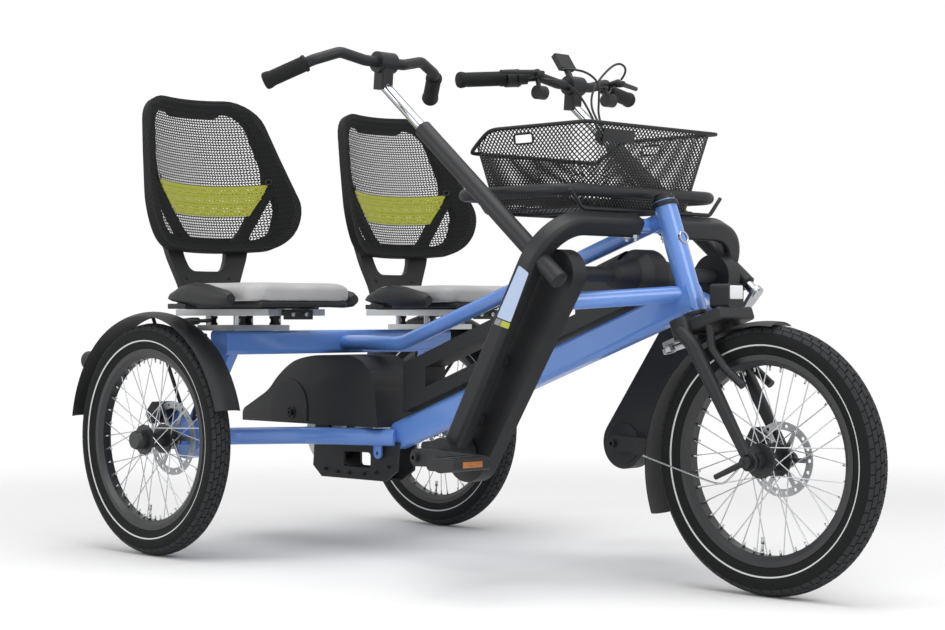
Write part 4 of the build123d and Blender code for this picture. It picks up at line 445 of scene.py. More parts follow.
# Headset and head badge: pressed cups at both ends of the head tube, in satin black.
# The badge is a plain nickel ring, glued to the front of the tube.
head_foot, head_up = Vector((1144, 0, 510)), Vector((-0.332161, 0, 0.943223))
head_forward = Vector((0.943223, 0, 0.332161))
head_top = head_foot + 240 * head_up
badge_place = head_foot + 158 * head_up + 22 * head_forward
cup = [(21.5, 3), (25.2, 3), (25.8, 4), (25.8, 10), (24.6, 12), (21.5, 12), (21.5, 3)]
top_cap = [(0, -2), (21.5, -2), (21.5, 6), (17, 9), (17, 13), (15.5, 14.5), (0, 14.5)]
badge_ring = [(9.6, -4), (13, -4), (13, 1.4), (12.2, 2.2), (10.4, 2.2), (9.6, 1.4), (9.6, -4)]


def turned(shape, profile, foot, along, steps=32):
    """Joins a turned part to a bmesh: pairs of radius and distance, spun about an axis from its foot."""
    one = bmesh.new()
    points = [one.verts.new((radius, 0, far)) for radius, far in profile]
    edges = [one.edges.new(ends) for ends in zip(points, points[1:])]
    bmesh.ops.spin(one, geom=points + edges, cent=(0, 0, 0), axis=(0, 0, 1), angle=math.tau, steps=steps,
                   use_merge=True)
    bmesh.ops.remove_doubles(one, verts=one.verts, dist=0.01)
    bmesh.ops.recalc_face_normals(one, faces=one.faces)
    one.transform(Matrix.Translation(foot) @ Vector(along).to_track_quat("Z", "X").to_matrix().to_4x4())
    join(shape, one)


def crisp(made, degrees=35):
    """Keeps a smooth piece's sharp edges sharp."""
    made.data.set_sharp_from_angle(angle=math.radians(degrees))


shape = bmesh.new()
turned(shape, cup, head_foot, head_up)
turned(shape, cup, head_top, -head_up)
turned(shape, top_cap, head_top, head_up)
crisp(piece(shape, "headset_cups", "frame", satin_black))
shape = bmesh.new()
turned(shape, badge_ring, badge_place, head_forward)
crisp(piece(shape, "head_badge_ring", "frame", nickel))

# Bolts: socket-head screws in black oxide hold the cradle, the cover and the cranks; plugs close the sleeves.
# Each is a turned head with a sunk socket; the screws that clamp the booms are bright.
hands = {"right": -1, "left": 1}
rider_y, column_down = 283, (0.767725, 0, -0.64078)
crank_x, crank_z = 776, 248
sleeve_plug = [(0, -2), (16.4, -2), (16.4, 0.6), (14, 2.2), (0, 2.8)]
cover_washer = [(12, 0), (15, 0), (15, 1.6), (14, 2.4), (12, 2), (12, 0)]
crank_disc = [(0, -1), (44, -1), (44, 1), (42, 2.2), (14, 2.2), (13, 1.4), (0, 1.4)]
clamp_screw = [(0, 0), (7, 0), (7, 5), (6.2, 6), (4, 6), (4, 12), (0, 12)]
cradle_bolts = ((100, 170), (140, 165), (180, 165), (230, 165), (270, 170), (310, 185))


def bolt(shape, at, along, radius):
    """Joins a socket-head screw to a bmesh, its head standing on a face."""
    one = bmesh.new()
    head = bmesh.ops.create_cone(one, cap_ends=True, segments=24, radius1=radius, radius2=radius,
                                 depth=radius)
    bmesh.ops.translate(one, verts=head["verts"], vec=(0, 0, radius / 2 - 0.5))
    one.faces.ensure_lookup_table()
    top = max(one.faces, key=lambda face: face.calc_center_median().z)
    bmesh.ops.inset_region(one, faces=[top], thickness=radius * 0.12, depth=0.0)
    bmesh.ops.translate(one, verts=top.verts, vec=(0, 0, radius * 0.1))
    bmesh.ops.inset_region(one, faces=[top], thickness=radius * 0.36, depth=0.0)
    sunk = bmesh.ops.extrude_face_region(one, geom=[top])
    bmesh.ops.delete(one, geom=[top], context="FACES_ONLY")
    bmesh.ops.translate(one, verts=[v for v in sunk["geom"] if isinstance(v, bmesh.types.BMVert)],
                        vec=(0, 0, -radius * 0.6))
    bmesh.ops.recalc_face_normals(one, faces=one.faces)
    one.transform(Matrix.Translation(at) @ Vector(along).to_track_quat("Z", "X").to_matrix().to_4x4())
    join(shape, one)


shape = bmesh.new()
for side in hands.values():
    cover_bolt, outward = (25, side * 67, 296), (0, side, 0)
    turned(shape, sleeve_plug, (1049.6, side * rider_y, 580.6), column_down)
    turned(shape, cover_washer, cover_bolt, outward)
    bolt(shape, cover_bolt, outward, 7)
    for x, z in cradle_bolts:
        bolt(shape, (x, side * 28, z), outward, 4)
    turned(shape, crank_disc, (crank_x, side * 214.5, crank_z), (0, -side, 0), 48)
crisp(piece(shape, "frame_bolts", "frame", satin_black))
shape = bmesh.new()
for side in hands.values():
    for x in (1018, 1040):
        turned(shape, clamp_screw, (x, side * 56, 671), (0, 0, -1), 6)
crisp(piece(shape, "boom_clamp_screws", "frame", nickel))
for hand, side in hands.items():
    shape = bmesh.new()
    bolt(shape, (crank_x, side * 386, crank_z), (0, side, 0), 8)
    bolt(shape, (crank_x, side * 184, crank_z), (0, -side, 0), 8)
    crisp(piece(shape, f"crank_bolts_{hand}", f"cranks_{hand}", satin_black))

# Rear cover: a vacuum-formed black hood over the gear hub, arched behind and open below.
# Each side has a raised round-topped panel, and its rim is trimmed to a 4 mm wall.
hood_half_width, hood_foot, hood_roll = 64, 272, 20
# Corners of the hood's side and of its panel: x, z and the length that rounds each
hood_outline = [(-156, hood_foot, 0), (-156, 298, 10), (-58, 346, 20), (-12, 396, 46), (70, 428, 60),
                (262, 428, 40), (303, 372, 40), (312, hood_foot, 0)]
panel_outline = [(-50, 276, 0), (-50, 372, 62), (80, 372, 62), (80, 276, 0)]
panel_seat, panel_depth = 62, 5


def rounded_face(shape, corners, segments):
    """Draws a face through points, each given with the length that rounds its corner."""
    points = [shape.verts.new(at) for at, _ in corners]
    shape.faces.new(points)
    for point, (_, rounding) in zip(points, corners):
        if rounding:
            bmesh.ops.bevel(shape, geom=[point], affect="VERTICES", offset=rounding, segments=segments,
                            profile=0.5, material=-1)


def pull(shape, way):
    """Extrudes a flat shape into a closed one."""
    grown = bmesh.ops.extrude_face_region(shape, geom=shape.faces[:], use_keep_orig=True)
    moved = [v for v in grown["geom"] if isinstance(v, bmesh.types.BMVert)]
    bmesh.ops.translate(shape, verts=moved, vec=way)
    bmesh.ops.recalc_face_normals(shape, faces=shape.faces)


shape = bmesh.new()
rounded_face(shape, [((x, -hood_half_width, z), rounding) for x, z, rounding in hood_outline], 8)
pull(shape, (0, 2 * hood_half_width, 0))
rolled = [e for e in shape.edges
          if abs(e.verts[0].co.y - e.verts[1].co.y) < 1 and max(v.co.z for v in e.verts) > hood_foot + 1]
bmesh.ops.bevel(shape, geom=rolled, affect="EDGES", offset=hood_roll, segments=5, profile=0.5, material=-1,
                clamp_overlap=True)
under = [f for f in shape.faces if all(abs(v.co.z - hood_foot) < 0.5 for v in f.verts)]
bmesh.ops.delete(shape, geom=under, context="FACES")
hood = piece(shape, "rear_hood", "frame", moulded_black)
crisp(hood, 40)
wall = hood.modifiers.new("wall", "SOLIDIFY")
wall.thickness = 0.004
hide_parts("rear_cover")
for hand, side in hands.items():
    shape = bmesh.new()
    rounded_face(shape, [((x, side * panel_seat, z), rounding) for x, z, rounding in panel_outline], 10)
    pull(shape, (0, side * panel_depth, 0))
    panel = piece(shape, f"rear_hood_panel_{hand}", "frame", moulded_black, smooth=False)
    edge = panel.modifiers.new("soft_edge", "BEVEL")
    edge.width = 0.002
    edge.segments = 3
    edge.limit_method = "ANGLE"

# Boom decal: printed vinyl on the outer face of the right-hand boom, left plain pale blue.
# A grey and a yellow-green stripe close its lower end.
vinyl_looks = {"pale_blue": "#B9CBEA", "grey": "#8E9094", "yellow_green": "#B4BD3C"}
vinyl = {}
for name, code in vinyl_looks.items():
    vinyl[name], tree = new_material(f"printed_vinyl_{name}")
    place = add(tree, "TexCoord")
    print_noise = add(tree, "TexNoise", {
        "Vector": place.outputs["Object"], "Scale": per_metre(3.125), "Detail": 1.0,
    })
    rough = add(tree, "MapRange", {"Value": print_noise.outputs["Fac"], "To Min": 0.3, "To Max": 0.4})
    film = add(tree, "BsdfPrincipled", {"Base Color": colour(code), "Roughness": rough.outputs["Result"]})
    add(tree, "OutputMaterial", {"Surface": film.outputs[0]})
decal_top, decal_foot = [(972.8, 609.6), (997.7, 594.9)], [(945.1, 491.6), (908.2, 500.9)]
boom_face, film_depth = -310.0, 0.4
# Each field of the decal: its ends along the boom and its sides across it, as shares, and its corner radius
for name, start, end, left, right, corner in (
    ("pale_blue", 0.0, 0.88, 0.0, 1.0, 3.0),
    ("grey", 0.90, 1.0, 0.0, 0.38, 1.0),
    ("yellow_green", 0.90, 1.0, 0.42, 1.0, 1.0),
):
    shape = bmesh.new()
    corners = []
    for share, order in ((start, (left, right)), (end, (right, left))):
        ends = [Vector(decal_top[edge]).lerp(Vector(decal_foot[1 - edge]), share) for edge in (0, 1)]
        for across in order:
            x, z = ends[0].lerp(ends[1], across)
            corners.append(shape.verts.new((x, boom_face, z)))
    shape.faces.new(corners)
    bmesh.ops.bevel(shape, geom=corners, affect="VERTICES", offset=corner, segments=4, profile=0.5,
                    material=-1)
    pull(shape, (0, -film_depth, 0))
    piece(shape, f"boom_decal_{name}", "frame", vinyl[name], smooth=False)

# Lamps: a clear ribbed lens closes the headlamp, and domed red lenses close the tail lamps.
# All are moulded polycarbonate, clipped into black housings, with ribs that break up the glint.
rib_pitch, wave_bands = 3.93, math.tau / 20
tail_dome = [(0, -3), (18.5, -3), (18.5, 2), (16.5, 5), (10, 7), (0, 7.6)]
lens_looks = {"clear": ("#EEF0F2", 0.10), "red": ("#9C1014", 0.12)}
lens_plastic = {}
for name, (code, gloss) in lens_looks.items():
    lens_plastic[name], tree = new_material(f"moulded_{name}_polycarbonate")
    place = add(tree, "TexCoord")
    ribs = add(tree, "TexWave", {
        "Vector": place.outputs["Object"], "Scale": wave_bands * per_metre(rib_pitch),
    }, bands_direction="Y")
    bump = add(tree, "Bump", {"Height": ribs.outputs["Fac"], "Strength": 0.3, "Distance": 0.0006})
    plastic = add(tree, "BsdfPrincipled", {
        "Base Color": colour(code), "Roughness": gloss, "IOR": 1.58, "Coat Weight": 0.6,
        "Normal": bump.outputs["Normal"],
    })
    add(tree, "OutputMaterial", {"Surface": plastic.outputs[0]})


def rounded_block(shape, centre, size, corner, turn=None):
    """Joins a block with rounded edges to a bmesh."""
    one = bmesh.new()
    bmesh.ops.create_cube(one, size=1.0)
    bmesh.ops.scale(one, vec=size, verts=one.verts)
    bmesh.ops.bevel(one, geom=one.edges[:], affect="EDGES", offset=corner, segments=3, profile=0.5,
                    material=-1)
    one.transform(Matrix.Translation(centre) @ (turn or Matrix.Identity(4)))
    join(shape, one)


shape = bmesh.new()
rounded_block(shape, (1236.5, 0, 560), (6, 38, 26), 2.5)
piece(shape, "headlamp_lens", "fork", lens_plastic["clear"])
for hand, side in hands.items():
    shape = bmesh.new()
    turned(shape, tail_dome, (-246, side * 430, 415.6), (-1, 0, 0))
    piece(shape, f"tail_lamp_lens_{hand}", "frame", lens_plastic["red"])

# Front fender stay: cold-bent steel wire, nickel bright, on the right-hand side of the wheel.
# It runs from a clip on the fender's lower edge to a hook beside the axle plate.
stay_route = [(1040, -34, 247), (1062, -37, 242), (1180, -58, 219), (1248, -70, 206), (1272, -72, 212),
              (1302, -70, 244)]


def bent_wire(name, body, material, points, radius, closed=False):
    """A round wire along a smooth curve that bends at points given in millimetres."""
    line = bpy.data.curves.new(name, "CURVE")
    line.dimensions = "3D"
    line.bevel_depth = radius / 1000
    line.bevel_resolution = 4
    line.use_fill_caps = True
    run = line.splines.new("NURBS")
    run.points.add(len(points) - 1)
    for spot, at in zip(run.points, points):
        spot.co = (*(to_row @ Vector(at)), 1.0)
    run.order_u = 3
    run.use_cyclic_u = closed
    run.use_endpoint_u = not closed
    run.resolution_u = 10
    line.materials.append(material)
    made = bpy.data.objects.new(name, line)
    scene.collection.objects.link(made)
    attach(made, body)
    return made


bent_wire("front_fender_stay", "fork", nickel, stay_route, 1.8)

# Pedal reflectors: amber prismatic acrylic, clipped into the front and rear faces of each platform.
# The moulded prisms break the light into 3 mm cells.
reflector = (3, 50, 11)
amber, tree = new_material("prismatic_amber_acrylic")
place = add(tree, "TexCoord")
prisms = add(tree, "TexVoronoi", {
    "Vector": place.outputs["Object"], "Scale": per_metre(3.03),
}, feature="DISTANCE_TO_EDGE")
bump = add(tree, "Bump", {"Height": prisms.outputs["Distance"], "Strength": 0.5, "Distance": 0.001})
acrylic = add(tree, "BsdfPrincipled", {
    "Base Color": colour("#A8601C"), "Roughness": 0.18, "IOR": 1.49, "Coat Weight": 0.7,
    "Normal": bump.outputs["Normal"],
})
add(tree, "OutputMaterial", {"Surface": acrylic.outputs[0]})
from_row = to_row.inverted()
for pedal in ("right_inner", "right_outer", "left_inner", "left_outer"):
    low, high = (from_row @ Vector(corner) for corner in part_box(f"pedal_{pedal}"))
    middle = (low + high) / 2
    shape = bmesh.new()
    for x in (low.x, high.x):
        rounded_block(shape, (x, middle.y, middle.z), reflector, 1.0)
    piece(shape, f"pedal_reflectors_{pedal}", f"pedal_{pedal}", amber)

# Grips: black rubber sleeves pushed over the bar ends, with a collar inside, shallow ribs and a flared end.
# The ribs are moulded 4 mm apart, and the rubber has a dull, dusty skin.
grip_rubber, tree = new_material("moulded_grip_rubber")
place = add(tree, "TexCoord")
dust = add(tree, "TexNoise", {"Vector": place.outputs["Object"], "Scale": per_metre(2), "Detail": 2.0})
bump = add(tree, "Bump", {"Height": dust.outputs["Fac"], "Strength": 0.25, "Distance": 0.0004})
rough = add(tree, "MapRange", {"Value": dust.outputs["Fac"], "To Min": 0.6, "To Max": 0.78})
rubber = add(tree, "BsdfPrincipled", {
    "Base Color": colour("#18191A"), "Roughness": rough.outputs["Result"], "Specular IOR Level": 0.25,
    "Normal": bump.outputs["Normal"],
})
add(tree, "OutputMaterial", {"Surface": rubber.outputs[0]})
stems = {"passenger": Vector((575, -rider_y, 1023)), "driver": Vector((575, rider_y, 1023))}
# The straight end of each bar from its stem, on the left-hand side: start and end
bar_ends = {"passenger": ((-26, 165, -7), (-102, 224, -48)), "driver": ((-47, 160, 7), (-78, 280, -4))}
bare_start, rib_spacing = 14, 2
for rider, stem in stems.items():
    shape = bmesh.new()
    for side in (-1, 1):
        start, end = (stem + Vector((x, side * y, z)) for x, y, z in bar_ends[rider])
        along = (end - start).normalized()
        length = (end - start).length - bare_start
        rib_count = int((length - 28) / rib_spacing)
        ribs = [(15.4 + 0.5 * (step % 2), 10 + rib_spacing * step) for step in range(rib_count)]
        profile = [(11.3, 0), (16.2, 0), (17.2, 1.5), (17.2, 5), (15.6, 8), *ribs, (15.8, length - 16),
                   (17.4, length - 9), (17.6, length - 4), (16.4, length - 0.5), (14, length + 1),
                   (0, length + 1)]
        turned(shape, profile, start + bare_start * along, along)
    grips = piece(shape, f"ribbed_grips_{rider}", "driver_bar" if rider == "driver" else "frame", grip_rubber)
    crisp(grips, 60)
    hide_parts(f"{rider}_grips")

# Driver's cables: black-sleeved brake and gear cables of 5 mm, from the levers and the shifter to the column.
# They arch over the bar and meet in a moulded clip on the column, and ride with the bar.
cable_width = 5
# Each cable's length in metres and the points that it bends at
cable_routes = {
    "brake_cable_right": (0.2050, [
        (600, 150, 1025), (617, 170, 1023), (623, 205, 1019), (629, 240, 998), (644, 262, 955),
        (666, 269, 906)]),
    "brake_cable_left": (0.2790, [
        (598, 416, 1046), (622, 414, 1066), (622, 376, 1082), (604, 338, 1044), (600, 310, 1001),
        (618, 298, 955), (660, 297, 909)]),
    "gear_cable": (0.1925, [
        (598, 222, 1053), (614, 240, 1053), (636, 262, 1045), (652, 280, 1023), (647, 285, 987),
        (646, 283, 950), (661, 283, 920)]),
}
clip = [(11.1, 112), (15, 112), (17.5, 115), (17.5, 131), (15, 134), (11.1, 134), (11.1, 112)]
cable_sleeve, tree = new_material("black_pvc_cable_sleeve")
place = add(tree, "TexCoord")
skin = add(tree, "TexNoise", {"Vector": place.outputs["Object"], "Scale": per_metre(3.33), "Detail": 1.0})
rough = add(tree, "MapRange", {"Value": skin.outputs["Fac"], "To Min": 0.3, "To Max": 0.42})
pvc = add(tree, "BsdfPrincipled", {
    "Base Color": colour("#1A1B1C"), "Roughness": rough.outputs["Result"], "Specular IOR Level": 0.4,
})
add(tree, "OutputMaterial", {"Surface": pvc.outputs[0]})
for name, (length, route) in cable_routes.items():
    cable = bent_wire(name, "driver_bar", cable_sleeve, route, cable_width / 2)
shape = bmesh.new()
turned(shape, clip, (567.5, rider_y, 983), column_down)
for side in (-1, 1):
    rounded_block(shape, (596, rider_y + side * 133, 1036), (22, 14, 14), 4)
crisp(piece(shape, "cable_clip", "driver_bar", moulded_black))

# Twist shifter and display: a ribbed moulded ring, clamped inside the driver's right grip.
# The display's face is tinted glass, polished so that it mirrors the room.
shape = bmesh.new()
shifter_start = stems["driver"] + Vector((-47, -160, 7))
shifter_along = Vector((-31, -120, -11)).normalized()
display_place = Matrix.Translation((545, rider_y, 1077)) @ Matrix.Rotation(math.radians(-35), 4, "Y")
ribbed = [(18.6 + 0.9 * (step % 2), 4 + 2 * step) for step in range(14)]
turned(shape, [(11.5, 0), (19, 0), (20, 2), *ribbed, (19.5, 32), (17.5, 36), (11.5, 36), (11.5, 0)],
       shifter_start - 26 * shifter_along, shifter_along)
crisp(piece(shape, "twist_shifter", "driver_bar", moulded_black), 60)
display_glass, tree = new_material("tinted_display_glass")
place = add(tree, "TexCoord")
smear = add(tree, "TexNoise", {"Vector": place.outputs["Object"], "Scale": per_metre(16.7), "Detail": 2.0})
rough = add(tree, "MapRange", {"Value": smear.outputs["Fac"], "To Min": 0.04, "To Max": 0.12})
glass = add(tree, "BsdfPrincipled", {"Base Color": colour("#0E1114"), "Roughness": rough.outputs["Result"]})
add(tree, "OutputMaterial", {"Surface": glass.outputs[0]})
shape = bmesh.new()
rounded_block(shape, (0, 0, 0), (2, 38, 32), 0.9)
shape.transform(display_place @ Matrix.Translation((-6.6, 0, 0)))
piece(shape, "display_face", "driver_bar", display_glass)

# Basket: expanded steel net, welded to a wire rim and floor, in black epoxy coat that rounds off the strands.
# Its strands stand 7 mm apart, coarser than the real 5 mm so that they show.
# The rim drops at the rear, and each side has a ringed hand-hold.
epoxy_net, tree = new_material("black_epoxy_on_expanded_steel")
place = add(tree, "TexCoord")
flow = add(tree, "TexNoise", {"Vector": place.outputs["Object"], "Scale": per_metre(4.17), "Detail": 1.0})
bump = add(tree, "Bump", {"Height": flow.outputs["Fac"], "Strength": 0.15, "Distance": 0.0004})
rough = add(tree, "MapRange", {"Value": flow.outputs["Fac"], "To Min": 0.36, "To Max": 0.48})
coat = add(tree, "BsdfPrincipled", {
    "Base Color": colour("#161718"), "Roughness": rough.outputs["Result"], "Specular IOR Level": 0.3,
    "Normal": bump.outputs["Normal"],
})
add(tree, "OutputMaterial", {"Surface": coat.outputs[0]})
basket_corner = 40
# Foot and top of the wall: rear x, front x, half width, corner radius and height
wall_foot, wall_top = (752, 1000, 168, basket_corner, 722.5), (715, 1040, 196, basket_corner, 880)
wall_deep, wall_wide, wall_height = 325 - 2 * basket_corner, 392 - 2 * basket_corner, 162
corner_arc = math.pi / 2 * basket_corner
wall_round = 2 * (wall_deep + wall_wide + 2 * corner_arc)
rear_x, rear_z, bend_x, rim_z = 722, 838, 786, 880
hold_x, hold_z, hold_half_length, hold_half_height = 872, 857, 24, 9
strand = 2.1


def round_the_basket(share, level):
    """A point on the basket's wall: how far round it from the middle of the rear, and how far up."""
    near, far, half, corner, height = (a + (b - a) * level for a, b in zip(wall_foot, wall_top))
    rest = share * wall_round - wall_wide / 2
    if rest < 0:
        return Vector((near, (half - corner) * (1 + rest / (wall_wide / 2)), height))
    heading = 90.0
    spot = Vector((near, half - corner))
    for step, run in enumerate((corner_arc, wall_deep, corner_arc, wall_wide) * 2):
        part = min(1.0, rest / run)
        ahead = Vector((math.cos(math.radians(heading)), math.sin(math.radians(heading))))
        if step % 2 == 0:
            swing = math.radians(90 * part)
            inside = Vector((ahead.y, -ahead.x))
            spot = spot + corner * (ahead * math.sin(swing) + inside * (1 - math.cos(swing)))
            heading -= 90 * part
        else:
            spot = spot + ahead * part * ((far - near if step % 4 == 1 else 2 * half) - 2 * corner)
        rest -= run
        if rest <= 0:
            break
    return Vector((spot.x, spot.y, height))


def slice_off(shape, at, outward, snap=0.01, clear=True):
    """Cuts a bmesh with a plane and drops what lies beyond it."""
    bmesh.ops.bisect_plane(shape, geom=everything(shape), dist=snap, plane_co=at, plane_no=outward,
                           clear_outer=clear)


def diamond_net(width, height, diamonds):
    """A flat net of diamonds in the XY plane, from the origin."""
    net = bmesh.new()
    side = width / diamonds / math.sqrt(2)
    count = math.ceil((width + height) / math.sqrt(2) / side / 2 + 1) * 2
    bmesh.ops.create_grid(net, x_segments=count, y_segments=count, size=count * side / 2)
    middle = Matrix.Translation((width / 2, height / 2, 0))
    net.transform(middle @ Matrix.Rotation(math.radians(45), 4, "Z"))
    for at, outward in (((0, 0, 0), (-1, 0, 0)), ((0, 0, 0), (0, -1, 0)), ((width, 0, 0), (1, 0, 0)),
                        ((0, height, 0), (0, 1, 0))):
        slice_off(net, at, outward)
    cells = net.faces[:]
    bmesh.ops.inset_individual(net, faces=cells, thickness=strand / 2, use_even_offset=True)
    bmesh.ops.delete(net, geom=cells, context="FACES")
    return net


wall = diamond_net(wall_round, wall_height, 132)
for vert in wall.verts:
    vert.co = round_the_basket(min(0.999999, vert.co.x / wall_round), vert.co.y / wall_height)
bmesh.ops.remove_doubles(wall, verts=wall.verts, dist=0.05)
drop = Vector((rim_z - rear_z, 0, rear_x - bend_x)).normalized()
slice_off(wall, (rear_x, 0, rear_z), -drop, snap=0.0)
holes = []
for face in wall.faces:
    x, y, z = face.calc_center_median()
    if abs(x - hold_x) < hold_half_length and abs(z - hold_z) < hold_half_height and abs(y) > 150:
        holes.append(face)
bmesh.ops.delete(wall, geom=holes, context="FACES")
base = diamond_net(248, 336, 22)
base.transform(Matrix.Translation((752, -168, 723.5)))
join(wall, base)
basket_net = piece(wall, "basket_net", "frame", epoxy_net, smooth=False)
thick = basket_net.modifiers.new("strand_thickness", "SOLIDIFY")
thick.thickness = 0.0016
thick.offset = 0.0
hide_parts("basket")

rim = []
for side in (-1, 1):
    half_rim = [(725, side * 148, 838), (725, side * 180, 838), (728, side * 190, 840),
                (760, side * 195, 863), (786, side * 196, 880), (830, side * 196, 880),
                (995, side * 196, 880), (1036, side * 196, 880), (1040, side * 192, 880),
                (1040, side * 150, 880)]
    rim += half_rim if side < 0 else half_rim[::-1]
bent_wire("basket_rim", "frame", epoxy_net, rim, 4.0, closed=True)
foot_ring = [(790, -168, 723), (756, -168, 723), (752, -164, 723), (752, -130, 723), (752, 130, 723),
             (752, 164, 723), (756, 168, 723), (790, 168, 723), (962, 168, 723), (996, 168, 723),
             (1000, 164, 723), (1000, 130, 723), (1000, -130, 723), (1000, -164, 723), (996, -168, 723),
             (962, -168, 723)]
bent_wire("basket_foot_ring", "frame", epoxy_net, foot_ring, 2.6, closed=True)
for hand, side in hands.items():
    ring = [(860, side * 193, 867), (848, side * 193, 867), (848, side * 191, 857), (848, side * 190, 848),
            (860, side * 190, 848), (884, side * 190, 848), (896, side * 190, 848), (896, side * 191, 857),
            (896, side * 193, 867), (884, side * 193, 867)]
    bent_wire(f"basket_hand_hold_ring_{hand}", "frame", epoxy_net, ring, 2.0, closed=True)
shape = bmesh.new()
rounded_block(shape, (1037.5, -103, 858), (3, 90, 26), 1.2, Matrix.Rotation(math.radians(14), 4, "Y"))
piece(shape, "basket_plate", "frame", moulded_black)

# Seat backs: a moulded frame bent to a curve, with black net stretched over its front and round its border.
# Two slanting braces run down inside it, and a perforated yellow-green lumbar band hooks on over the net.
seat_sides = {"right": -280, "left": 280}
back_curve = 320.0
back_places = {hand: Matrix.Translation((5, y, 655)) @ Matrix.Rotation(math.radians(-13), 4, "Y")
               for hand, y in seat_sides.items()}


def bend_back(shape, hand):
    """Bends a shape drawn as depth, width and height into a seat back's curve and sets it in its place."""
    for vert in shape.verts:
        depth, width, height = vert.co
        vert.co = (back_curve - math.sqrt((back_curve - depth) ** 2 - width ** 2), width, height)
    shape.transform(back_places[hand])


def cut_plate(outline, windows):
    """A flat plate with windows: corner points as width, height and the length that rounds the corner."""
    plate = bmesh.new()
    for ring in (outline, *windows):
        rounded_face(plate, [((0, width, height), rounding) for width, height, rounding in ring], 7)
    bmesh.ops.delete(plate, geom=plate.faces[:], context="FACES_ONLY")
    bmesh.ops.triangle_fill(plate, edges=plate.edges[:], use_beauty=True)
    for width in range(-200, 201, 20):
        slice_off(plate, (0, width, 0), (0, 1, 0), clear=False)
    return plate


def thicken(plate, start, end):
    """Gives a flat plate its depth, between two distances from the middle of the back."""
    bmesh.ops.translate(plate, verts=plate.verts, vec=(start, 0, 0))
    pull(plate, (end - start, 0, 0))


def both_sides(half):
    """A symmetrical outline from its half, given from the top middle to the foot."""
    return half + [(-width, height, rounding) for width, height, rounding in reversed(half)]


back_outline = both_sides([(147, 350, 66), (214, 66, 44), (165, 0, 34)])
main_window = both_sides([(62, 311, 3), (70, 322, 4), (100, 321, 12), (128, 296, 18), (150, 190, 14),
                          (146, 142, 6), (80, 48, 4), (54, 22, 6)])
side_window = [(160, 127, 4), (166, 98, 12), (146, 34, 20), (88, 22, 3)]
far_window = [(-width, height, rounding) for width, height, rounding in reversed(side_window)]
net_black, tree = new_material("knitted_polyester_net")
place = add(tree, "TexCoord")
yarn = add(tree, "TexNoise", {"Vector": place.outputs["Object"], "Scale": per_metre(1.43), "Detail": 2.0})
bump = add(tree, "Bump", {"Height": yarn.outputs["Fac"], "Strength": 0.4, "Distance": 0.0004})
rough = add(tree, "MapRange", {"Value": yarn.outputs["Fac"], "To Min": 0.72, "To Max": 0.9})
cloth = add(tree, "BsdfPrincipled", {
    "Base Color": colour("#161718"), "Roughness": rough.outputs["Result"], "Specular IOR Level": 0.2,
    "Normal": bump.outputs["Normal"],
})
add(tree, "OutputMaterial", {"Surface": cloth.outputs[0]})
# The net over the border shows as a staggered grain of dark holes, 7 mm by 6 mm as in the open part
border_net, tree = new_material("net_over_moulded_frame")
place = add(tree, "TexCoord")
weave = add(tree, "TexBrick", {
    "Vector": place.outputs["UV"], "Scale": 1.0, "Mortar Size": 0.0012, "Brick Width": 0.007,
    "Row Height": 0.006, "Mortar Smooth": 0.6, "Color1": colour("#0E0E0F"), "Color2": colour("#111213"),
    "Mortar": colour("#27282A"),
})
bump = add(tree, "Bump", {"Height": weave.outputs["Fac"], "Strength": 0.5, "Distance": 0.0008})
cloth = add(tree, "BsdfPrincipled", {
    "Base Color": weave.outputs["Color"], "Roughness": 0.75, "Specular IOR Level": 0.2,
    "Normal": bump.outputs["Normal"],
})
add(tree, "OutputMaterial", {"Surface": cloth.outputs[0]})
lumbar_green, tree = new_material("perforated_yellow_green_mesh")
place = add(tree, "TexCoord")
yarn = add(tree, "TexNoise", {"Vector": place.outputs["Object"], "Scale": per_metre(2), "Detail": 2.0})
tint = add(tree, "ValToRGB", {"Fac": yarn.outputs["Fac"]})
tint.color_ramp.elements[0].color = colour("#8F9420")
tint.color_ramp.elements[1].color = colour("#A8AC2C")
bump = add(tree, "Bump", {"Height": yarn.outputs["Fac"], "Strength": 0.3, "Distance": 0.0004})
cloth = add(tree, "BsdfPrincipled", {
    "Base Color": tint.outputs["Color"], "Roughness": 0.7, "Sheen Weight": 0.2,
    "Normal": bump.outputs["Normal"],
})
add(tree, "OutputMaterial", {"Surface": cloth.outputs[0]})


def knit(cell_width, cell_height, thread, outline):
    """A flat staggered net within a convex outline, drawn as depth, width and height."""
    net = bmesh.new()
    wide = max(point[0] for point in outline) + cell_width
    low, high = min(point[1] for point in outline), max(point[1] for point in outline)
    columns, rows = math.ceil(2 * wide / cell_width), math.ceil((high - low) / cell_height)
    bmesh.ops.create_grid(net, x_segments=columns, y_segments=rows, size=0.5)
    net.transform(Matrix.Diagonal((columns * cell_width, rows * cell_height, 1, 1)))
    for vert in net.verts:
        row = round(vert.co.y / cell_height + rows / 2)
        vert.co = (0, vert.co.x + (row % 2) * cell_width / 2, low + row * cell_height)
    for here, after in zip(outline, outline[1:] + outline[:1]):
        edge = Vector(after[:2]) - Vector(here[:2])
        slice_off(net, (0, here[0], here[1]), (0, -edge.y, edge.x))
    cells = net.faces[:]
    bmesh.ops.inset_individual(net, faces=cells, thickness=thread * 0.7, use_even_offset=False)
    bmesh.ops.delete(net, geom=cells, context="FACES")
    return net


net_outline = both_sides([(92, 338, 0), (134, 318, 0), (165, 240, 0), (192, 120, 0), (192, 76, 0),
                          (176, 44, 0), (140, 12, 0)])
lumbar_outline = both_sides([(150, 149, 0), (126, 112, 0), (100, 80, 0)])
frame_half_depth, net_depth, band_depth_on_net = 9, 9.4, 11.2
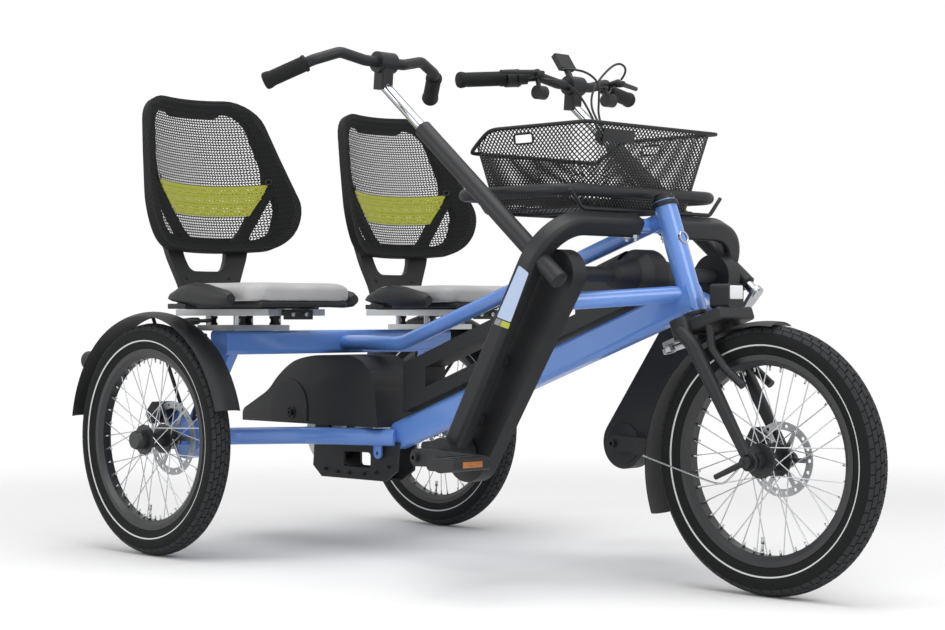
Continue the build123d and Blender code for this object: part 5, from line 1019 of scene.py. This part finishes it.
# Knobs behind the back: width, height, radius and length; the lower pair reaches the spine
back_knobs = ((160, 133, 9, 5), (-160, 133, 9, 5), (98, 28, 8, 18), (-98, 28, 8, 18))
band_eye = [(5, -1.2), (7, -1.2), (7, 1.2), (5, 1.2), (5, -1.2)]
for hand in seat_sides:
    body = f"seat_{hand}"
    plate = cut_plate(back_outline, [main_window, side_window, far_window])
    thicken(plate, -frame_half_depth, frame_half_depth)
    layer = plate.loops.layers.uv.new("flat")
    for face in plate.faces:
        for corner in face.loops:
            depth, width, height = corner.vert.co / 1000
            corner[layer].uv = (width + depth + 1, height + depth + 1)
    bend_back(plate, hand)
    back_frame = piece(plate, f"seat_back_frame_{hand}", body, border_net)
    soft_edge = back_frame.modifiers.new("rolled_edge", "BEVEL")
    soft_edge.width = 0.006
    soft_edge.segments = 4
    soft_edge.limit_method = "ANGLE"
    soft_edge.angle_limit = math.radians(50)
    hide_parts(f"seat_back_{hand}")

    net = knit(7.0, 6.0, 2.3, net_outline)
    bmesh.ops.translate(net, verts=net.verts, vec=(net_depth, 0, 0))
    net_area = sum(face.calc_area() for face in net.faces) / 1e6
    bend_back(net, hand)
    back_net = piece(net, f"seat_back_net_{hand}", body, net_black, smooth=False)
    yarn_depth = back_net.modifiers.new("yarn", "SOLIDIFY")
    yarn_depth.thickness = 0.0008

    band = knit(9.0, 8.0, 5.2, lumbar_outline)
    bmesh.ops.translate(band, verts=band.verts, vec=(band_depth_on_net, 0, 0))
    band_area = sum(face.calc_area() for face in band.faces) / 1e6
    bend_back(band, hand)
    lumbar = piece(band, f"lumbar_band_{hand}", body, lumbar_green, smooth=False)
    band_depth = lumbar.modifiers.new("band", "SOLIDIFY")
    band_depth.thickness = 0.0012

    shape = bmesh.new()
    for width, height, radius, length in back_knobs:
        knob = [(0, -2), (radius, -2), (radius, length - 2), (radius * 0.8, length), (0, length + 0.5)]
        turned(shape, knob, (-frame_half_depth, width, height), (-1, 0, 0), 24)
    for width in (-150, 150):
        turned(shape, band_eye, (12.4, width, 154), (1, 0, 0), 24)
    bend_back(shape, hand)
    piece(shape, f"seat_back_knobs_{hand}", body, moulded_black)

# Seat pans: a moulded black tray, a curved Y-shaped spine that is screwed to the back, and two arm wings.
# The wings are hollow paddles with a rolled top; a slide housing sits beneath the outer end of each.
spine_outline = both_sides([(118, 40, 8), (106, -8, 12), (78, -74, 16), (78, -120, 2)])
spine_window = both_sides([(60, 10, 4), (56, -8, 4), (44, -36, 14)])
spine_rear, spine_front = -40, -26
spine_screw = [(0, 0), (4, 0), (4, 1.5), (2.6, 2.2), (0, 0.8)]
wing_offset = 169
# Wing sections: x, half width, lowest and highest z
wing_sections = [(86, 7, 550, 556), (100, 15, 546, 566), (135, 20, 541, 580), (175, 21, 537, 586),
                 (215, 21, 534, 582), (255, 20, 533, 573), (280, 18, 535, 568), (292, 11, 541, 561)]
for hand, seat_y in seat_sides.items():
    body = f"seat_{hand}"
    spine = cut_plate(spine_outline, [spine_window])
    thicken(spine, spine_rear, spine_front)
    for width in (-58, 58):
        turned(spine, spine_screw, (spine_front, width, -52), (1, 0, 0), 16)
    bend_back(spine, hand)
    crisp(piece(spine, f"seat_spine_{hand}", body, moulded_black))

    shape = bmesh.new()
    rounded_block(shape, (182, seat_y, 540), (290, 236, 12), 4)
    rounded_block(shape, (126, seat_y, 534.6), (292, 150, 8), 2)
    for outward in (-1, 1):
        wing_y = seat_y + outward * wing_offset
        rounded_block(shape, (126, wing_y, 536), (62, 30, 11), 2)
        rounded_block(shape, (185, wing_y - outward * 14, 541), (120, 26, 9), 2)
        one = bmesh.new()
        loops = []
        for x, half, low, high in wing_sections:
            ring = bmesh.ops.create_circle(one, segments=24, radius=1.0)["verts"]
            oval = Matrix.Diagonal((1, half, (high - low) / 2, 1))
            lay = Matrix.Translation((x, wing_y, (low + high) / 2)) @ oval
            bmesh.ops.transform(one, matrix=lay @ Matrix.Rotation(math.radians(90), 4, "Y"), verts=ring)
            loops.append(list({edge for vert in ring for edge in vert.link_edges}))
        for here, after in zip(loops, loops[1:]):
            bmesh.ops.bridge_loops(one, edges=here + after)
        for end in (loops[0], loops[-1]):
            bmesh.ops.edgeloop_fill(one, edges=end)
        bmesh.ops.recalc_face_normals(one, faces=one.faces)
        join(shape, one)
    pan = piece(shape, f"seat_tray_{hand}", body, moulded_black)
    crisp(pan, 50)
    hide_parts(f"seat_pan_{hand}")

# Seat slides: black studs and collars on the posts, a clamp lever under the rails and a stop plate in front.
# The stop plate is folded steel, held by two bright screws.
post_collars = [(8.1, 496.2), (12, 496.2), (12, 501), (9.6, 502), (9.6, 509), (12, 510), (12, 515.6),
                (8.1, 515.6), (8.1, 496.2)]
clamp_lever = [(0, 0), (4, 0), (4, 44), (7.5, 50), (8.5, 70), (7, 110), (4.5, 128), (0, 131)]
shape = bmesh.new()
screws = bmesh.new()
for side in (-1, 1):
    for x in (72, 168):
        for y in (232, 328):
            turned(shape, post_collars, (x, side * y, 0), (0, 0, 1), 24)
    turned(shape, clamp_lever, (100, side * 350, 506), (-1, 0, -0.03), 20)
    rounded_block(shape, (304, side * 280, 518.5), (5, 78, 21), 1.5)
    for y in (262, 298):
        bolt(screws, (306.2, side * y, 519), (1, 0, 0), 5)
crisp(piece(shape, "seat_slide_fittings", "frame", moulded_black))
crisp(piece(screws, "seat_slide_screws", "frame", nickel))

# Seat cushions: foam under light-grey coated cloth, pulled over the pan and stapled beneath.
# The cover is inflated by a short cloth simulation, so its top crowns and its sides roll over.
coated_cloth, tree = new_material("grey_coated_cloth")
place = add(tree, "TexCoord")
grain = add(tree, "TexVoronoi", {
    "Vector": place.outputs["Object"], "Scale": per_metre(2.38),
}, feature="SMOOTH_F1")
cloud = add(tree, "TexNoise", {"Vector": place.outputs["Object"], "Scale": per_metre(83), "Detail": 3.0})
tint = add(tree, "ValToRGB", {"Fac": cloud.outputs["Fac"]})
tint.color_ramp.elements[0].color = colour("#ABABAC")
tint.color_ramp.elements[1].color = colour("#B9B9BA")
bump = add(tree, "Bump", {"Height": grain.outputs["Distance"], "Strength": 0.2, "Distance": 0.0004})
cloth = add(tree, "BsdfPrincipled", {
    "Base Color": tint.outputs["Color"], "Roughness": 0.55, "Normal": bump.outputs["Normal"],
})
add(tree, "OutputMaterial", {"Surface": cloth.outputs[0]})
# Room that the swelling takes beside and above the cover, in millimetres, and its limit in metres
side_room, top_room, most_swell = 4, 6, 0.007
cloth_frames = 20
for hand in seat_sides:
    low, high = (from_row @ Vector(corner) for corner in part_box(f"seat_cushion_{hand}"))
    extent, middle = high - low, (low + high) / 2
    shape = bmesh.new()
    bmesh.ops.create_cube(shape, size=1.0)
    bmesh.ops.scale(shape, vec=extent - Vector((2 * side_room, 2 * side_room, top_room)), verts=shape.verts)
    upright = [e for e in shape.edges if abs(e.verts[0].co.z - e.verts[1].co.z) > 1]
    bmesh.ops.bevel(shape, geom=upright, affect="EDGES", offset=40, segments=6, profile=0.5, material=-1)
    top_ring = [e for e in shape.edges if all(v.co.z > 0 for v in e.verts)]
    bmesh.ops.bevel(shape, geom=top_ring, affect="EDGES", offset=10, segments=3, profile=0.5, material=-1)
    shape.transform(Matrix.Translation(middle - Vector((0, 0, top_room / 2))))
    cushion = piece(shape, f"seat_cushion_cover_{hand}", f"seat_{hand}", coated_cloth)
    fine = cushion.modifiers.new("even", "REMESH")
    fine.mode = "VOXEL"
    fine.voxel_size = 0.006
    view = bpy.context.evaluated_depsgraph_get()
    cushion.data = bpy.data.meshes.new_from_object(cushion.evaluated_get(view))
    cushion.modifiers.clear()
    cushion.data.materials.clear()
    cushion.data.materials.append(coated_cloth)
    before = [vert.co.copy() for vert in cushion.data.vertices]
    swell = cushion.modifiers.new("swell", "CLOTH")
    swell.settings.use_pressure = True
    swell.settings.uniform_pressure_force = 4.0
    swell.settings.effector_weights.gravity = 0.0
    for step in range(1, cloth_frames + 1):
        scene.frame_set(step)
    view = bpy.context.evaluated_depsgraph_get()
    filled = bpy.data.meshes.new_from_object(cushion.evaluated_get(view))
    cushion.modifiers.clear()
    cushion.data = filled
    scene.frame_set(1)
    floor_level = low.z / 1000
    for vert, was in zip(cushion.data.vertices, before):
        move = vert.co - was
        if move.length > most_swell:
            move = move.normalized() * most_swell
        vert.co = was + move
        vert.co.z = max(vert.co.z, floor_level)
    for face in cushion.data.polygons:
        face.use_smooth = True
    smooth = cushion.modifiers.new("skin", "SUBSURF")
    smooth.levels = smooth.render_levels = 1
    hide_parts(f"seat_cushion_{hand}")

size = {"cad": [list(corner) for corner in cad_box], "visual": [list(corner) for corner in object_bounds()]}
